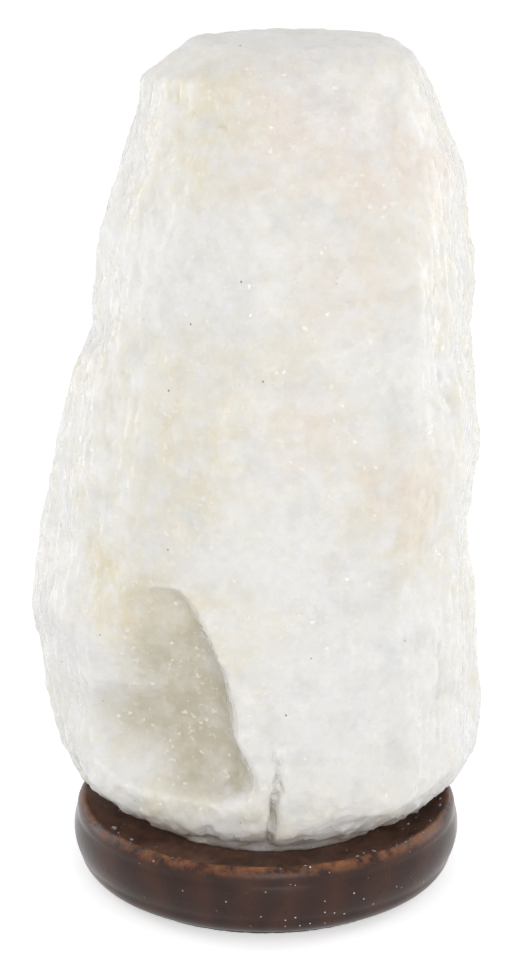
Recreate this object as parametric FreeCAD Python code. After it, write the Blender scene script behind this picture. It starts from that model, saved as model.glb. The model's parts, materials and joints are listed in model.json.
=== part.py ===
import FreeCAD, Part
import math
import os

os.makedirs("parts", exist_ok=True)

# A salt crystal lamp. A hewn block of rock salt stands in a dished, turned wooden
# base, and a small lampholder with its bulb is pushed up inside it from below.
# Sizes are in millimetres and +Z is up. The origin is where the axis of the base
# meets the table, and the front of the lamp faces -Y.

# Felt ring under the base
pad_thickness = 1.5
pad_outer_radius = 53.0
pad_inner_radius = 39.0
pad_gap = 10.0  # open where the cord runs out

# Turned wooden base
base_radius = 62.5  # at its fullest, half way up the side
base_full_height = 14.0
rim_radius = 59.6  # crest of the rim
rim_height = 25.25
dish_floor_height = 18.0  # the crystal stands on it
dish_floor_radius = 45.0
base_hole_radius = 20.0  # the lampholder goes up through it
edge_break = 0.8
groove_width = 8.0  # lets the cord out at the back
groove_depth = 6.5
# Where the curves of its profile meet and what they pass through: radius and height
toe_radius = 53.5
toe_curve = (58.6, 3.6)
toe_to_side = (60.9, 8.0)
side_to_rim = (61.5, 20.4)
rim_curve = (60.9, 23.6)
crest_curve = (58.9, 25.27)
crest_to_dish = (58.2, 24.7)
dish_curve = (52.6, 20.1)

# Screws that hold the crystal on the base, and the plugs they bite in
screw_circle_radius = 27.5
screw_angles = (30, 150, 270)  # degrees, clear of the cord groove at 90
screw_radius = 1.75
screw_length = 33.0
screw_point_length = 3.0
screw_head_radius = 3.6
screw_head_height = 2.4
screw_head_edge = 0.6
screw_recess_radius = 4.4
screw_recess_depth = 4.0
cross_slot_reach = 2.2
cross_slot_width = 0.9
cross_slot_depth = 1.3
plug_radius = 3.0
plug_length = 24.0
plug_barbs = 3
plug_barb_pitch = 5.0
plug_barb_gap = 1.2
plug_barb_depth = 0.5

# Hewn crystal. Each ring is a height, then how far the stone reaches from the axis
# to the left, the right, the front and the back. The first ring is the sawn foot.
crystal_rings = [
    (18.0, 42.0, 42.0, 33.0, 38.0),
    (22.0, 50.0, 50.5, 35.0, 43.5),
    (25.5, 56.8, 57.8, 43.0, 49.2),
    (29.5, 61.5, 63.0, 47.8, 52.5),
    (42.0, 66.2, 70.0, 52.0, 55.5),
    (63.0, 70.8, 69.2, 55.0, 58.0),
    (90.0, 75.4, 67.2, 57.0, 59.5),
    (117.0, 71.6, 64.4, 56.5, 59.0),
    (143.0, 65.6, 67.0, 55.5, 57.0),
    (165.0, 62.2, 65.6, 54.0, 56.5),
    (179.0, 54.2, 63.4, 52.6, 55.2),
    (193.0, 53.6, 65.4, 51.0, 53.5),
    (212.0, 52.2, 62.8, 48.0, 51.0),
    (231.0, 44.6, 59.8, 44.0, 47.0),
    (250.0, 38.8, 52.6, 38.0, 41.5),
    (257.0, 38.2, 49.0, 34.0, 37.5),
    (263.0, 30.5, 45.8, 30.0, 33.0),
    (268.0, 22.5, 38.0, 25.0, 27.0),
]
crown_point = (6.0, 1.0, 269.3)  # the top is nearly flat
# Corners of a ring, as a share of the way from left to right and a share of the
# depth, front negative. Low down the front is rounder than on the body.
foot_corners = [
    (0.00, -0.04),
    (0.14, -0.56),
    (0.25, -0.81),
    (0.40, -0.97),
    (0.52, -1.00),
    (0.66, -0.95),
    (0.79, -0.79),
    (0.90, -0.50),
    (1.00, 0.00),
    (0.92, 0.55),
    (0.73, 0.88),
    (0.50, 1.00),
    (0.26, 0.86),
    (0.08, 0.50),
]
body_corners = [
    (0.00, -0.04),
    (0.09, -0.45),
    (0.21, -0.76),
    (0.39, -1.00),
    (0.50, -0.99),
    (0.66, -0.96),
    (0.82, -0.85),
    (0.94, -0.50),
    (1.00, 0.02),
    (0.94, 0.52),
    (0.76, 0.86),
    (0.52, 1.00),
    (0.27, 0.90),
    (0.07, 0.50),
]
outline_corners = (0, 8)  # these two draw the outline seen from the front
foot_rings = 4  # rings that use the foot's corners
crown_rings = 3  # rings round the top, which stay level
corner_push = 0.03  # share by which a corner stands in or out
corner_slide = 3.0  # how far a corner is moved round its ring
corner_lift = 3.6  # how far a corner stands above or below its ring
# Turn in radians from ring to ring, from corner to corner, and with both
push_wave = (2.3, 1.9, 0.7)
slide_wave = (1.7, 0.9, 1.3)
lift_wave = (1.1, 2.9, 0.5)

# Flats struck off the block: a point on each, and the way it faces
struck_flats = [
    ((22.0, -52.5, 132.0), (0.12, -0.99, 0.05)),
    ((-42.0, -40.5, 150.0), (-0.60, -0.78, 0.14)),
    ((36.0, -39.5, 226.0), (0.50, -0.80, 0.32)),
    ((-20.0, -35.0, 244.0), (-0.40, -0.78, 0.48)),
    ((57.0, -36.0, 84.0), (0.78, -0.62, 0.02)),
    ((-66.0, 14.0, 122.0), (-0.93, 0.30, 0.22)),
    ((-50.0, 37.0, 104.0), (-0.62, 0.77, 0.10)),
    ((44.0, 41.0, 148.0), (0.66, 0.74, 0.10)),
    ((4.0, 51.0, 176.0), (0.05, 0.97, 0.24)),
    ((-6.0, 54.0, 66.0), (-0.10, 0.98, -0.16)),
    ((-18.0, 42.0, 228.0), (-0.40, 0.80, 0.44)),
    ((30.0, 39.0, 236.0), (0.50, 0.70, 0.50)),
]

# Hollow broken out low on the left of the front. At each height, how far right and
# how far forward its floor lies at the left edge, in the middle, at the foot of its
# steep right-hand side, and at the right edge
hollow_mouth = -66.0
hollow_steps = [
    (112.5, (-36.5, -49.5), (-33.0, -51.0), (-28.0, -52.5), (-25.5, -54.0)),
    (109.0, (-41.5, -43.2), (-36.0, -45.2), (-26.0, -46.5), (-21.5, -55.0)),
    (103.5, (-46.5, -41.2), (-38.0, -43.5), (-23.0, -44.0), (-18.4, -56.2)),
    (96.0, (-49.0, -41.0), (-39.0, -44.0), (-19.5, -43.0), (-15.4, -57.2)),
    (86.5, (-49.5, -38.8), (-41.0, -41.7), (-15.5, -42.0), (-11.2, -57.2)),
    (76.5, (-51.0, -34.9), (-40.0, -39.0), (-13.0, -40.5), (-8.8, -56.8)),
    (65.0, (-54.0, -27.2), (-43.0, -32.0), (-12.0, -38.0), (-7.9, -56.0)),
    (57.5, (-55.0, -24.6), (-42.3, -29.5), (-9.5, -37.0), (-4.6, -55.0)),
    (50.5, (-54.5, -24.6), (-40.5, -28.5), (-8.5, -36.5), (-2.8, -53.6)),
    (46.0, (-51.0, -28.2), (-38.0, -32.0), (-9.5, -38.5), (-2.0, -52.4)),
    (42.5, (-45.0, -32.2), (-34.0, -37.5), (-14.0, -44.0), (-4.0, -50.3)),
    (39.5, (-40.0, -37.5), (-32.0, -42.0), (-16.0, -48.5), (-8.0, -50.5)),
]

# Cleft that splits the lip beside the hollow, cut as a vee. At each height: how far
# right its bottom lies, how far forward that is, and its width at the mouth
cleft_mouth = -56.0
cleft_steps = [
    (17.0, 1.0, -30.0, 10.0),
    (27.0, 1.4, -36.5, 8.0),
    (36.0, 2.6, -41.0, 6.5),
    (44.0, 2.9, -44.5, 5.5),
    (47.5, 4.4, -46.5, 4.4),
    (53.0, 3.4, -49.0, 3.0),
    (58.0, 3.2, -52.5, 1.2),
]

# Cavity bored straight up into the crystal for the bulb
cavity_radius = 22.0
cavity_top = 117.0

# Lampholder, pushed up through the base
holder_bottom = 12.0
holder_radius = 14.0
holder_wall = 1.6
cap_height = 12.0
cap_floor = 2.5
cap_corner = 2.0
collar_height = 6.0  # the spigot of the cap, inside the shell
collar_wall = 1.7
cord_hole_radius = 3.6
cord_boss_radius = 6.0
cord_boss_height = 4.0
flute_count = 18  # grip flutes round the cap and the clip ring
flute_radius = 0.9
flute_depth = 0.6
flute_end = 3.0  # plain band below the cap's flutes
shell_height = 32.0
shell_mouth_radius = 8.2
shell_chamfer = 0.8
insert_height = 10.0
insert_recess_radius = 5.2
insert_recess_depth = 5.0
contact_sleeve_height = 12.0
contact_sleeve_radius = 7.05
contact_sleeve_wall = 0.3
leaf_thickness = 0.4
leaf_width = 4.0
leaf_rise = 2.6
leaf_half_length = 4.2
leaf_bow = 2.9  # how far from its middle the leaf begins to arch
terminal_spacing = 15.2  # between the two screws
terminal_screw_radius = 1.5
terminal_screw_length = 7.0
terminal_head_radius = 2.4
terminal_head_height = 2.0
terminal_slot_width = 0.6
terminal_slot_depth = 0.8
terminal_hole_end = 2.0  # left closed above the screws

# Spring clip: a collar on the shell with a wing down each side
clip_seat_height = 20.0  # above the shell's lower edge
clip_seat_radius = 12.9
clip_collar_radius = 15.6
clip_thickness = 0.6
wing_width = 8.0
# Across and below the collar where a wing bends down, then across and up where its
# lower end curls in: start, middle and end of each bend
wing_bend = ((14.9, 0.0), (15.9, -0.42), (16.3, -1.4))
wing_curl = ((18.2, 17.8), (18.52, 13.6), (17.3, 9.6))
clip_ring_height = 6.0
clip_ring_radius = 16.2
clip_ring_chamfer = 1.0

# Bulb with a small screw cap
bulb_length = 58.0
bulb_tip_height = 1.4
bulb_tip_radius = 2.6
insulator_height = 2.2
insulator_radius = 6.0
insulator_margin = 0.7  # round the tip
bulb_cap_radius = 6.8
bulb_cap_height = 18.5
bulb_cap_wall = 0.35
bulb_cap_lip = 1.6  # turned in below, over the insulator
bulb_cap_bevel = (0.5, 1.2)  # across and up
globe_radius = 13.0
globe_shoulder_angle = -35.4  # degrees, where the globe runs into the neck
globe_side_angle = 20.0  # any place on the globe between the shoulder and the top
neck_radius = 6.9
neck_straight = 2.2  # above the cap
waist_draw = (1.15, 0.3)  # how far the waist is drawn in and lifted from a straight line
glass_wall = 0.7
glass_spigot = 6.3  # how far the glass goes into the cap
stem_height = 15.6
stem_radius = 1.9  # where it is pinched round the wires
stem_foot_height = 0.8
stem_flare = ((3.3, 2.3), (2.1, 6.0))  # radius, and height above the stem's foot
stem_bevel = (0.3, 0.4)
lead_radius = 0.3
filament_radius = 0.35
support_radius = 0.2
# Wires from the stem: across, back, and above the stem's top
lead_path = ((1.0, 0.0, -11.6), (1.0, 0.0, 1.0), (2.4, 0.0, 5.0), (6.4, 0.0, 14.0))
support_path = ((0.4, 0.8, -2.0), (0.9, 1.4, 3.0), (3.4, 4.4, 15.2))

# Small gaps
slip = 0.1  # between pieces that go into each other
contact_gap = 0.15  # between the bulb's tip and the leaf below it

# Heights that follow
screw_seat = pad_thickness + screw_recess_depth
cap_top = holder_bottom + cap_height
collar_top = cap_top + collar_height
shell_top = cap_top + shell_height
insert_top = collar_top + insert_height
recess_floor = insert_top - insert_recess_depth
clip_seat = cap_top + clip_seat_height
clip_ring_low = clip_seat + clip_thickness
leaf_top = recess_floor + leaf_rise
tip_low = leaf_top + contact_gap
insulator_low = tip_low + bulb_tip_height
bulb_cap_low = insulator_low + insulator_height
bulb_cap_top = bulb_cap_low + bulb_cap_height
bulb_top = tip_low + bulb_length
globe_centre = bulb_top - globe_radius
stem_low = bulb_cap_top - glass_spigot + 0.5
stem_top = stem_low + stem_height

# Radii that follow
shell_inner_radius = holder_radius - holder_wall
collar_radius = shell_inner_radius - slip
glass_spigot_radius = bulb_cap_radius - bulb_cap_wall - slip

origin = FreeCAD.Vector(0, 0, 0)
axis_up = FreeCAD.Vector(0, 0, 1)


def cylinder(radius, low, high, x=0.0, y=0.0):
    return Part.makeCylinder(radius, high - low, FreeCAD.Vector(x, y, low))


def block(low, high):
    size = [b - a for a, b in zip(low, high)]
    return Part.makeBox(size[0], size[1], size[2], FreeCAD.Vector(*low))


def line(a, b):
    start, end = [FreeCAD.Vector(across, 0, height) for across, height in (a, b)]
    return Part.LineSegment(start, end).toShape()


def arc(a, through, b):
    points = [FreeCAD.Vector(across, 0, height) for across, height in (a, through, b)]
    return Part.Arc(*points).toShape()


def turned(edges):
    # a closed outline of radius and height, turned about the axis
    return Part.Face(Part.Wire(edges)).revolve(origin, axis_up, 360)


def turned_corners(corners):
    closed = corners + corners[:1]
    return turned([line(a, b) for a, b in zip(closed, closed[1:])])


def bent_strip(edges, thickness, width):
    # sheet metal: its inner face seen from the side, made thick, then made wide
    side = Part.Wire(edges).makeOffset2D(thickness, join=0, fill=True, openResult=True)
    side.translate(FreeCAD.Vector(0, -width / 2, 0))
    return side.extrude(FreeCAD.Vector(0, width, 0))


def wire_rod(points, radius):
    # round wire bent at each point between its ends
    rod = None
    for start, end in zip(points, points[1:]):
        along = end - start
        piece = Part.makeCylinder(radius, along.Length, start, along)
        rod = piece if rod is None else rod.fuse(piece)
    for bend in points[1:-1]:
        rod = rod.fuse(Part.makeSphere(radius, bend))
    return rod.removeSplitter()


def round_axis(radius, angle):
    turn = math.radians(angle)
    return radius * math.cos(turn), radius * math.sin(turn)


def fluted(body, radius, low, high):
    # upright grip flutes, evenly spaced round a turned piece
    for number in range(flute_count):
        x, y = round_axis(radius + flute_radius - flute_depth, 360 * number / flute_count)
        body = body.cut(cylinder(flute_radius, low, high, x, y))
    return body


def save(name, shapes):
    shape = shapes[0] if len(shapes) == 1 else Part.makeCompound(shapes)
    shape.exportStep("parts/" + name + ".step")
    box = shape.BoundBox
    print(name, len(shape.Solids), "solid, valid", shape.isValid(), "z", round(box.ZMin, 2), round(box.ZMax, 2))


# The base and what is fixed to it


def felt_pad():
    ring = cylinder(pad_outer_radius, 0, pad_thickness).cut(cylinder(pad_inner_radius, -1, pad_thickness + 1))
    return ring.cut(block((-pad_gap / 2, 0, -1), (pad_gap / 2, base_radius, pad_thickness + 1)))


def wooden_base():
    low = pad_thickness
    hole = base_hole_radius
    full = (base_radius, base_full_height)
    rim = (rim_radius, rim_height)
    floor = (dish_floor_radius, dish_floor_height)
    body = turned([
        line((hole, low + edge_break), (hole + edge_break, low)),
        line((hole + edge_break, low), (toe_radius, low)),
        arc((toe_radius, low), toe_curve, toe_to_side),
        arc(toe_to_side, full, side_to_rim),
        arc(side_to_rim, rim_curve, rim),
        arc(rim, crest_curve, crest_to_dish),
        arc(crest_to_dish, dish_curve, floor),
        line(floor, (hole + edge_break, dish_floor_height)),
        line((hole + edge_break, dish_floor_height), (hole, dish_floor_height - edge_break)),
        line((hole, dish_floor_height - edge_break), (hole, low + edge_break)),
    ])
    half = groove_width / 2
    body = body.cut(block((-half, 0, low - 1), (half, base_radius + 5, low + groove_depth)))
    for angle in screw_angles:
        x, y = round_axis(screw_circle_radius, angle)
        body = body.cut(cylinder(screw_recess_radius, low - 1, screw_seat, x, y))
        body = body.cut(cylinder(screw_radius + slip, screw_seat - 1, dish_floor_height + 1, x, y))
    return body


def base_screws():
    # domed head with a cross slot, plain shank and a point
    low = screw_seat - screw_head_height
    edge = screw_seat - screw_head_edge
    dome = (screw_head_radius * 0.75, low + (edge - low) * 0.37)
    tip = screw_seat + screw_length
    screw = turned([
        arc((0, low), dome, (screw_head_radius, edge)),
        line((screw_head_radius, edge), (screw_head_radius, screw_seat)),
        line((screw_head_radius, screw_seat), (screw_radius, screw_seat)),
        line((screw_radius, screw_seat), (screw_radius, tip - screw_point_length)),
        line((screw_radius, tip - screw_point_length), (0, tip)),
        line((0, tip), (0, low)),
    ])
    half, reach = cross_slot_width / 2, cross_slot_reach
    screw = screw.cut(block((-reach, -half, low - 1), (reach, half, low + cross_slot_depth)))
    screw = screw.cut(block((-half, -reach, low - 1), (half, reach, low + cross_slot_depth)))
    placed = []
    for angle in screw_angles:
        x, y = round_axis(screw_circle_radius, angle)
        placed.append(screw.translated(FreeCAD.Vector(x, y, 0)))
    return placed


def screw_plugs():
    low = dish_floor_height
    high = low + plug_length
    plug = cylinder(plug_radius - slip, low, high).cut(cylinder(screw_radius + slip, low - 1, high + 1))
    core = cylinder(plug_radius - slip - plug_barb_depth, low, high)
    for barb in range(plug_barbs):
        notch = low + (barb + 1) * plug_barb_pitch
        groove = cylinder(plug_radius + 1, notch, notch + plug_barb_gap).cut(core)
        plug = plug.cut(groove)
    placed = []
    for angle in screw_angles:
        x, y = round_axis(screw_circle_radius, angle)
        placed.append(plug.translated(FreeCAD.Vector(x, y, 0)))
    return placed


# The crystal


def unevenness(wave, ring, corner):
    by_ring, by_corner, by_both = wave
    return by_ring * ring + by_corner * corner + by_both * ring * corner


def crystal_corner(ring, corner):
    height, left, right, front, back = crystal_rings[ring]
    across, depth = foot_corners[corner] if ring < foot_rings else body_corners[corner]
    x = -left + across * (left + right)
    y = depth * (front if depth < 0 else back)
    if ring < foot_rings:
        return FreeCAD.Vector(x, y, height)
    push = 0.0 if corner in outline_corners else corner_push * math.sin(unevenness(push_wave, ring, corner))
    slide = corner_slide * math.sin(unevenness(slide_wave, ring, corner))
    lift = corner_lift * math.cos(unevenness(lift_wave, ring, corner))
    if corner in outline_corners or ring >= len(crystal_rings) - crown_rings:
        lift = 0.0
    reach = math.hypot(x, y)
    moved_x = x * (1 + push) - slide * y / reach
    moved_y = y * (1 + push) + slide * x / reach
    return FreeCAD.Vector(moved_x, moved_y, height + lift)


def hewn_block():
    # flat three-cornered facets between the rings, a sawn foot and a broken crown
    count = len(body_corners)
    rings = [[crystal_corner(ring, corner) for corner in range(count)] for ring in range(len(crystal_rings))]
    facets = []
    for ring in range(len(rings) - 1):
        for corner in range(count):
            following = (corner + 1) % count
            a, b = rings[ring][corner], rings[ring][following]
            c, d = rings[ring + 1][following], rings[ring + 1][corner]
            if (ring + corner) % 2:
                facets += [(a, b, c), (a, c, d)]
            else:
                facets += [(a, b, d), (b, c, d)]
    crown = FreeCAD.Vector(*crown_point)
    facets += [(rings[-1][corner], rings[-1][(corner + 1) % count], crown) for corner in range(count)]
    faces = [Part.Face(Part.makePolygon([a, b, c, a])) for a, b, c in facets]
    faces.append(Part.Face(Part.makePolygon(rings[0] + rings[0][:1])))
    shell = Part.makeShell(faces)
    shell.sewShape()
    return Part.makeSolid(Part.Shell(shell.Faces))


def beyond_flat(point, facing):
    # everything outside a flat, as one big block turned to face the same way
    reach = 400.0
    outside = Part.makeBox(reach, reach, reach, FreeCAD.Vector(-reach / 2, -reach / 2, 0))
    turn = FreeCAD.Rotation(axis_up, FreeCAD.Vector(*facing))
    outside.Placement = FreeCAD.Placement(FreeCAD.Vector(*point), turn)
    return outside


def lofted(steps):
    # straight-sided solid through one closed outline at each height
    sections = []
    for height, outline in steps:
        corners = [FreeCAD.Vector(across, forward, height) for across, forward in outline]
        sections.append(Part.makePolygon(corners + corners[:1]))
    return Part.makeLoft(sections, True, True)


def hollow():
    steps = []
    for height, *floor in hollow_steps:
        mouth = [(floor[-1][0], hollow_mouth), (floor[0][0], hollow_mouth)]
        steps.append((height, floor + mouth))
    return lofted(steps)


def cleft():
    steps = []
    for height, across, deep, width in cleft_steps:
        left, right = across - width / 2, across + width / 2
        steps.append((height, [(left, cleft_mouth), (across, deep), (right, cleft_mouth)]))
    return lofted(steps)


def salt_crystal():
    crystal = hewn_block()
    for point, facing in struck_flats:
        crystal = crystal.cut(beyond_flat(point, facing))
    crystal = crystal.cut(hollow())
    crystal = crystal.cut(cleft())
    crystal = crystal.cut(cylinder(cavity_radius, dish_floor_height - 1, cavity_top))
    plug_hole_top = dish_floor_height + plug_length
    for angle in screw_angles:
        x, y = round_axis(screw_circle_radius, angle)
        crystal = crystal.cut(cylinder(plug_radius, dish_floor_height - 1, plug_hole_top, x, y))
    return crystal


# The lampholder


def holder_cap():
    low, outer, inner = holder_bottom, holder_radius, collar_radius - collar_wall
    bend = cap_corner * (1 - math.sqrt(0.5))
    cap = turned([
        line((cord_hole_radius, low), (outer - cap_corner, low)),
        arc((outer - cap_corner, low), (outer - bend, low + bend), (outer, low + cap_corner)),
        line((outer, low + cap_corner), (outer, cap_top)),
        line((outer, cap_top), (collar_radius, cap_top)),
        line((collar_radius, cap_top), (collar_radius, collar_top)),
        line((collar_radius, collar_top), (inner, collar_top)),
        line((inner, collar_top), (inner, low + cap_floor)),
        line((inner, low + cap_floor), (cord_boss_radius, low + cap_floor)),
        line((cord_boss_radius, low + cap_floor), (cord_boss_radius, low + cord_boss_height)),
        line((cord_boss_radius, low + cord_boss_height), (cord_hole_radius, low + cord_boss_height)),
        line((cord_hole_radius, low + cord_boss_height), (cord_hole_radius, low)),
    ])
    return fluted(cap, outer, low + flute_end, cap_top - flute_end)


def holder_shell():
    # its shoulder rests on the insert, and the clip seats on the step outside
    chamfer = shell_chamfer
    return turned_corners([
        (shell_inner_radius, cap_top),
        (holder_radius, cap_top),
        (holder_radius, clip_seat),
        (clip_seat_radius, clip_seat),
        (clip_seat_radius, shell_top - chamfer),
        (clip_seat_radius - chamfer, shell_top),
        (shell_mouth_radius, shell_top),
        (shell_mouth_radius, insert_top),
        (shell_inner_radius, insert_top),
    ])


def contact_insert():
    insert = cylinder(collar_radius, collar_top, insert_top)
    insert = insert.cut(cylinder(insert_recess_radius, recess_floor, insert_top + 1))
    for side in (-1, 1):
        x = side * terminal_spacing / 2
        hole_top = insert_top - terminal_hole_end
        insert = insert.cut(cylinder(terminal_screw_radius + slip, collar_top - 1, hole_top, x))
    return insert


def screw_contact():
    # thin brass sleeve with a foot that lies on the insert
    inner = contact_sleeve_radius
    outer = inner + contact_sleeve_wall
    foot = shell_mouth_radius - 2 * slip
    return turned_corners([
        (inner, insert_top),
        (foot, insert_top),
        (foot, insert_top + contact_sleeve_wall),
        (outer, insert_top + contact_sleeve_wall),
        (outer, insert_top + contact_sleeve_height),
        (inner, insert_top + contact_sleeve_height),
    ])


def centre_contact():
    # brass leaf that lies in the insert's recess and arches up to the bulb
    low, bow = recess_floor, leaf_bow
    crest = low + leaf_rise - leaf_thickness
    return bent_strip([
        line((-leaf_half_length, low), (-bow, low)),
        arc((-bow, low), (0, crest), (bow, low)),
        line((bow, low), (leaf_half_length, low)),
    ], leaf_thickness, leaf_width)


def terminal_screws():
    low = collar_top - terminal_head_height
    screw = cylinder(terminal_head_radius, low, collar_top)
    screw = screw.fuse(cylinder(terminal_screw_radius, collar_top, collar_top + terminal_screw_length))
    half = terminal_slot_width / 2
    slot_top = low + terminal_slot_depth
    screw = screw.cut(block((-holder_radius, -half, low - 1), (holder_radius, half, slot_top)))
    return [screw.translated(FreeCAD.Vector(side * terminal_spacing / 2, 0, 0)) for side in (-1, 1)]


def spring_clip():
    # each wing runs down and out, bears on the hole in the base and curls in
    collar = cylinder(clip_collar_radius, clip_seat, clip_seat + clip_thickness)
    collar = collar.cut(cylinder(clip_seat_radius + slip, clip_seat - 1, clip_seat + 1))
    bend = [(across, clip_seat + below) for across, below in wing_bend]
    wing = bent_strip([arc(*bend), line(bend[-1], wing_curl[0]), arc(*wing_curl)], clip_thickness, wing_width)
    other_wing = wing.rotated(origin, axis_up, 180)
    return collar.fuse([wing, other_wing]).removeSplitter()


def clip_ring():
    low, high = clip_ring_low, clip_ring_low + clip_ring_height
    inner, outer = clip_seat_radius + slip, clip_ring_radius
    ring = turned_corners([
        (inner, low),
        (outer, low),
        (outer, high - clip_ring_chamfer),
        (outer - clip_ring_chamfer, high),
        (inner, high),
    ])
    return fluted(ring, outer, low - 1, high + 1)


# The bulb


def bulb_tip():
    middle = (bulb_tip_radius * 0.7, tip_low + bulb_tip_height * 0.3)
    return turned([
        arc((0, tip_low), middle, (bulb_tip_radius, insulator_low)),
        line((bulb_tip_radius, insulator_low), (0, insulator_low)),
        line((0, insulator_low), (0, tip_low)),
    ])


def bulb_insulator():
    return turned_corners([
        (0, insulator_low),
        (bulb_tip_radius + insulator_margin, insulator_low),
        (insulator_radius, bulb_cap_low),
        (0, bulb_cap_low),
    ])


def bulb_cap():
    outer, inner = bulb_cap_radius, bulb_cap_radius - bulb_cap_wall
    lip = outer - bulb_cap_lip
    across, up = bulb_cap_bevel
    return turned_corners([
        (lip, bulb_cap_low),
        (outer - across, bulb_cap_low),
        (outer, bulb_cap_low + up),
        (outer, bulb_cap_top),
        (inner, bulb_cap_top),
        (inner, bulb_cap_low + up),
        (inner - across, bulb_cap_low + bulb_cap_wall),
        (lip, bulb_cap_low + bulb_cap_wall),
    ])


def bulb_envelope(inset, low):
    # a round globe that runs into a straight neck, drawn in by the inset
    globe = globe_radius - inset
    across, up = round_axis(globe, globe_shoulder_angle)
    shoulder = (across, globe_centre + up)
    side = round_axis(globe, globe_side_angle)
    neck = neck_radius - inset
    neck_top = (neck, bulb_cap_top + neck_straight)
    drawn_in, lifted = waist_draw
    waist = ((across + neck) / 2 - drawn_in, (shoulder[1] + neck_top[1]) / 2 + lifted)
    top = (0, globe_centre + globe)
    return turned([
        line((0, low), (neck, low)),
        line((neck, low), neck_top),
        arc(neck_top, waist, shoulder),
        arc(shoulder, (side[0], globe_centre + side[1]), top),
        line(top, (0, low)),
    ])


def bulb_glass():
    # the neck's step sits on the cap, and its thin spigot goes down inside
    spigot_low = bulb_cap_top - glass_spigot
    spigot = cylinder(glass_spigot_radius, spigot_low, bulb_cap_top)
    glass = bulb_envelope(0, bulb_cap_top).fuse(spigot)
    glass = glass.cut(bulb_envelope(glass_wall, bulb_cap_top + glass_wall))
    hollow = cylinder(glass_spigot_radius - glass_wall, spigot_low - 1, bulb_cap_top + glass_wall + 0.5)
    return glass.cut(hollow).removeSplitter()


def above_stem(place, side):
    across, back, up = place
    return FreeCAD.Vector(side * across, back, stem_top + up)


def wire_pair(path, radius):
    # the same wire on the left and on the right
    return [wire_rod([above_stem(place, side) for place in path], radius) for side in (-1, 1)]


def lead_wires():
    return wire_pair(lead_path, lead_radius)


def support_wires():
    return wire_pair(support_path, support_radius)


def bulb_filament():
    # strung from one lead over both supports to the other lead
    lead_end, hook = lead_path[-1], support_path[-1]
    ends = ((lead_end, -1), (hook, -1), (hook, 1), (lead_end, 1))
    rod = wire_rod([above_stem(place, side) for place, side in ends], filament_radius)
    for wire in lead_wires() + support_wires():
        rod = rod.cut(wire)
    return rod.Solids


def bulb_stem():
    # flared where it is sealed to the neck, pinched flat round the wires above
    flare = glass_spigot_radius - glass_wall
    foot = (flare, stem_low + stem_foot_height)
    waist, pinch = [(radius, stem_low + up) for radius, up in stem_flare]
    shoulder = (stem_radius, stem_top - stem_bevel[1])
    top = (stem_radius - stem_bevel[0], stem_top)
    stem = turned([
        line((0, stem_low), (flare, stem_low)),
        line((flare, stem_low), foot),
        arc(foot, waist, pinch),
        line(pinch, shoulder),
        line(shoulder, top),
        line(top, (0, stem_top)),
        line((0, stem_top), (0, stem_low)),
    ])
    for wire in lead_wires() + support_wires():
        stem = stem.cut(wire)
    return stem


save("felt_pad", [felt_pad()])
save("wooden_base", [wooden_base()])
save("base_screws", base_screws())
save("screw_plugs", screw_plugs())
save("salt_crystal", [salt_crystal()])
save("holder_cap", [holder_cap()])
save("holder_shell", [holder_shell()])
save("contact_insert", [contact_insert()])
save("screw_contact", [screw_contact()])
save("centre_contact", [centre_contact()])
save("terminal_screws", terminal_screws())
save("spring_clip", [spring_clip()])
save("clip_ring", [clip_ring()])
save("bulb_tip", [bulb_tip()])
save("bulb_insulator", [bulb_insulator()])
save("bulb_cap", [bulb_cap()])
save("bulb_glass", [bulb_glass()])
save("bulb_stem", [bulb_stem()])
save("bulb_leads", lead_wires())
save("filament_supports", support_wires())
save("bulb_filament", bulb_filament())
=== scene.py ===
import bpy
import bmesh
import json
import math
import random
from mathutils import Matrix, Vector, noise

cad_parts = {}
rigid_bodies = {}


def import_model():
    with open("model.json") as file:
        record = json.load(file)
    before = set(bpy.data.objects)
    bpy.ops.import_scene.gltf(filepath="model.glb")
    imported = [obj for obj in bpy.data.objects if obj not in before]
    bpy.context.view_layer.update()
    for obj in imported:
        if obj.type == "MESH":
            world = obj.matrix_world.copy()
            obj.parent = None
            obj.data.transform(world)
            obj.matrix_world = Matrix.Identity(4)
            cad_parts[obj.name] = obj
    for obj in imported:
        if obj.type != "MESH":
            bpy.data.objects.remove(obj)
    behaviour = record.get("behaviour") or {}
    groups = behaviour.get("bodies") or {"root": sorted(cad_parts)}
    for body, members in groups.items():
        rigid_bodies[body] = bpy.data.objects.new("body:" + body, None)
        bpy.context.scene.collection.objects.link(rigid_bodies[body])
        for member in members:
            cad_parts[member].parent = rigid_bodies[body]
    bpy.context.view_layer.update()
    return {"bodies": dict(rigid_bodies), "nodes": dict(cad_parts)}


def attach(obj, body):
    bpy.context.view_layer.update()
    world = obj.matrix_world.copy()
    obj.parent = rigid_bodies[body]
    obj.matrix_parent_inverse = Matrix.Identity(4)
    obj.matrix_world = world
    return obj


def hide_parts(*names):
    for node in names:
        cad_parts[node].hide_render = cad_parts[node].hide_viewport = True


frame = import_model()
print("frame loaded:", len(frame["nodes"]), "nodes")

mm = 0.001  # Blender works in metres here


def linear(hexColour):
    # sRGB hex to the linear colour that the shaders work in
    parts = [int(hexColour[at:at + 2], 16) / 255 for at in (1, 3, 5)]
    return tuple(c / 12.92 if c <= 0.04045 else ((c + 0.055) / 1.055) ** 2.4 for c in parts) + (1.0,)


def addNode(tree, kind, inputs=None, **settings):
    # a node with its settings; an input is a value, a socket, or a node whose first output is meant
    made = tree.nodes.new("ShaderNode" + kind)
    for name, value in settings.items():
        setattr(made, name, value)
    for socket, value in (inputs or {}).items():
        if isinstance(value, bpy.types.Node):
            value = value.outputs[0]
        if isinstance(value, bpy.types.NodeSocket):
            tree.links.new(value, made.inputs[socket])
        else:
            made.inputs[socket].default_value = value
    return made


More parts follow.
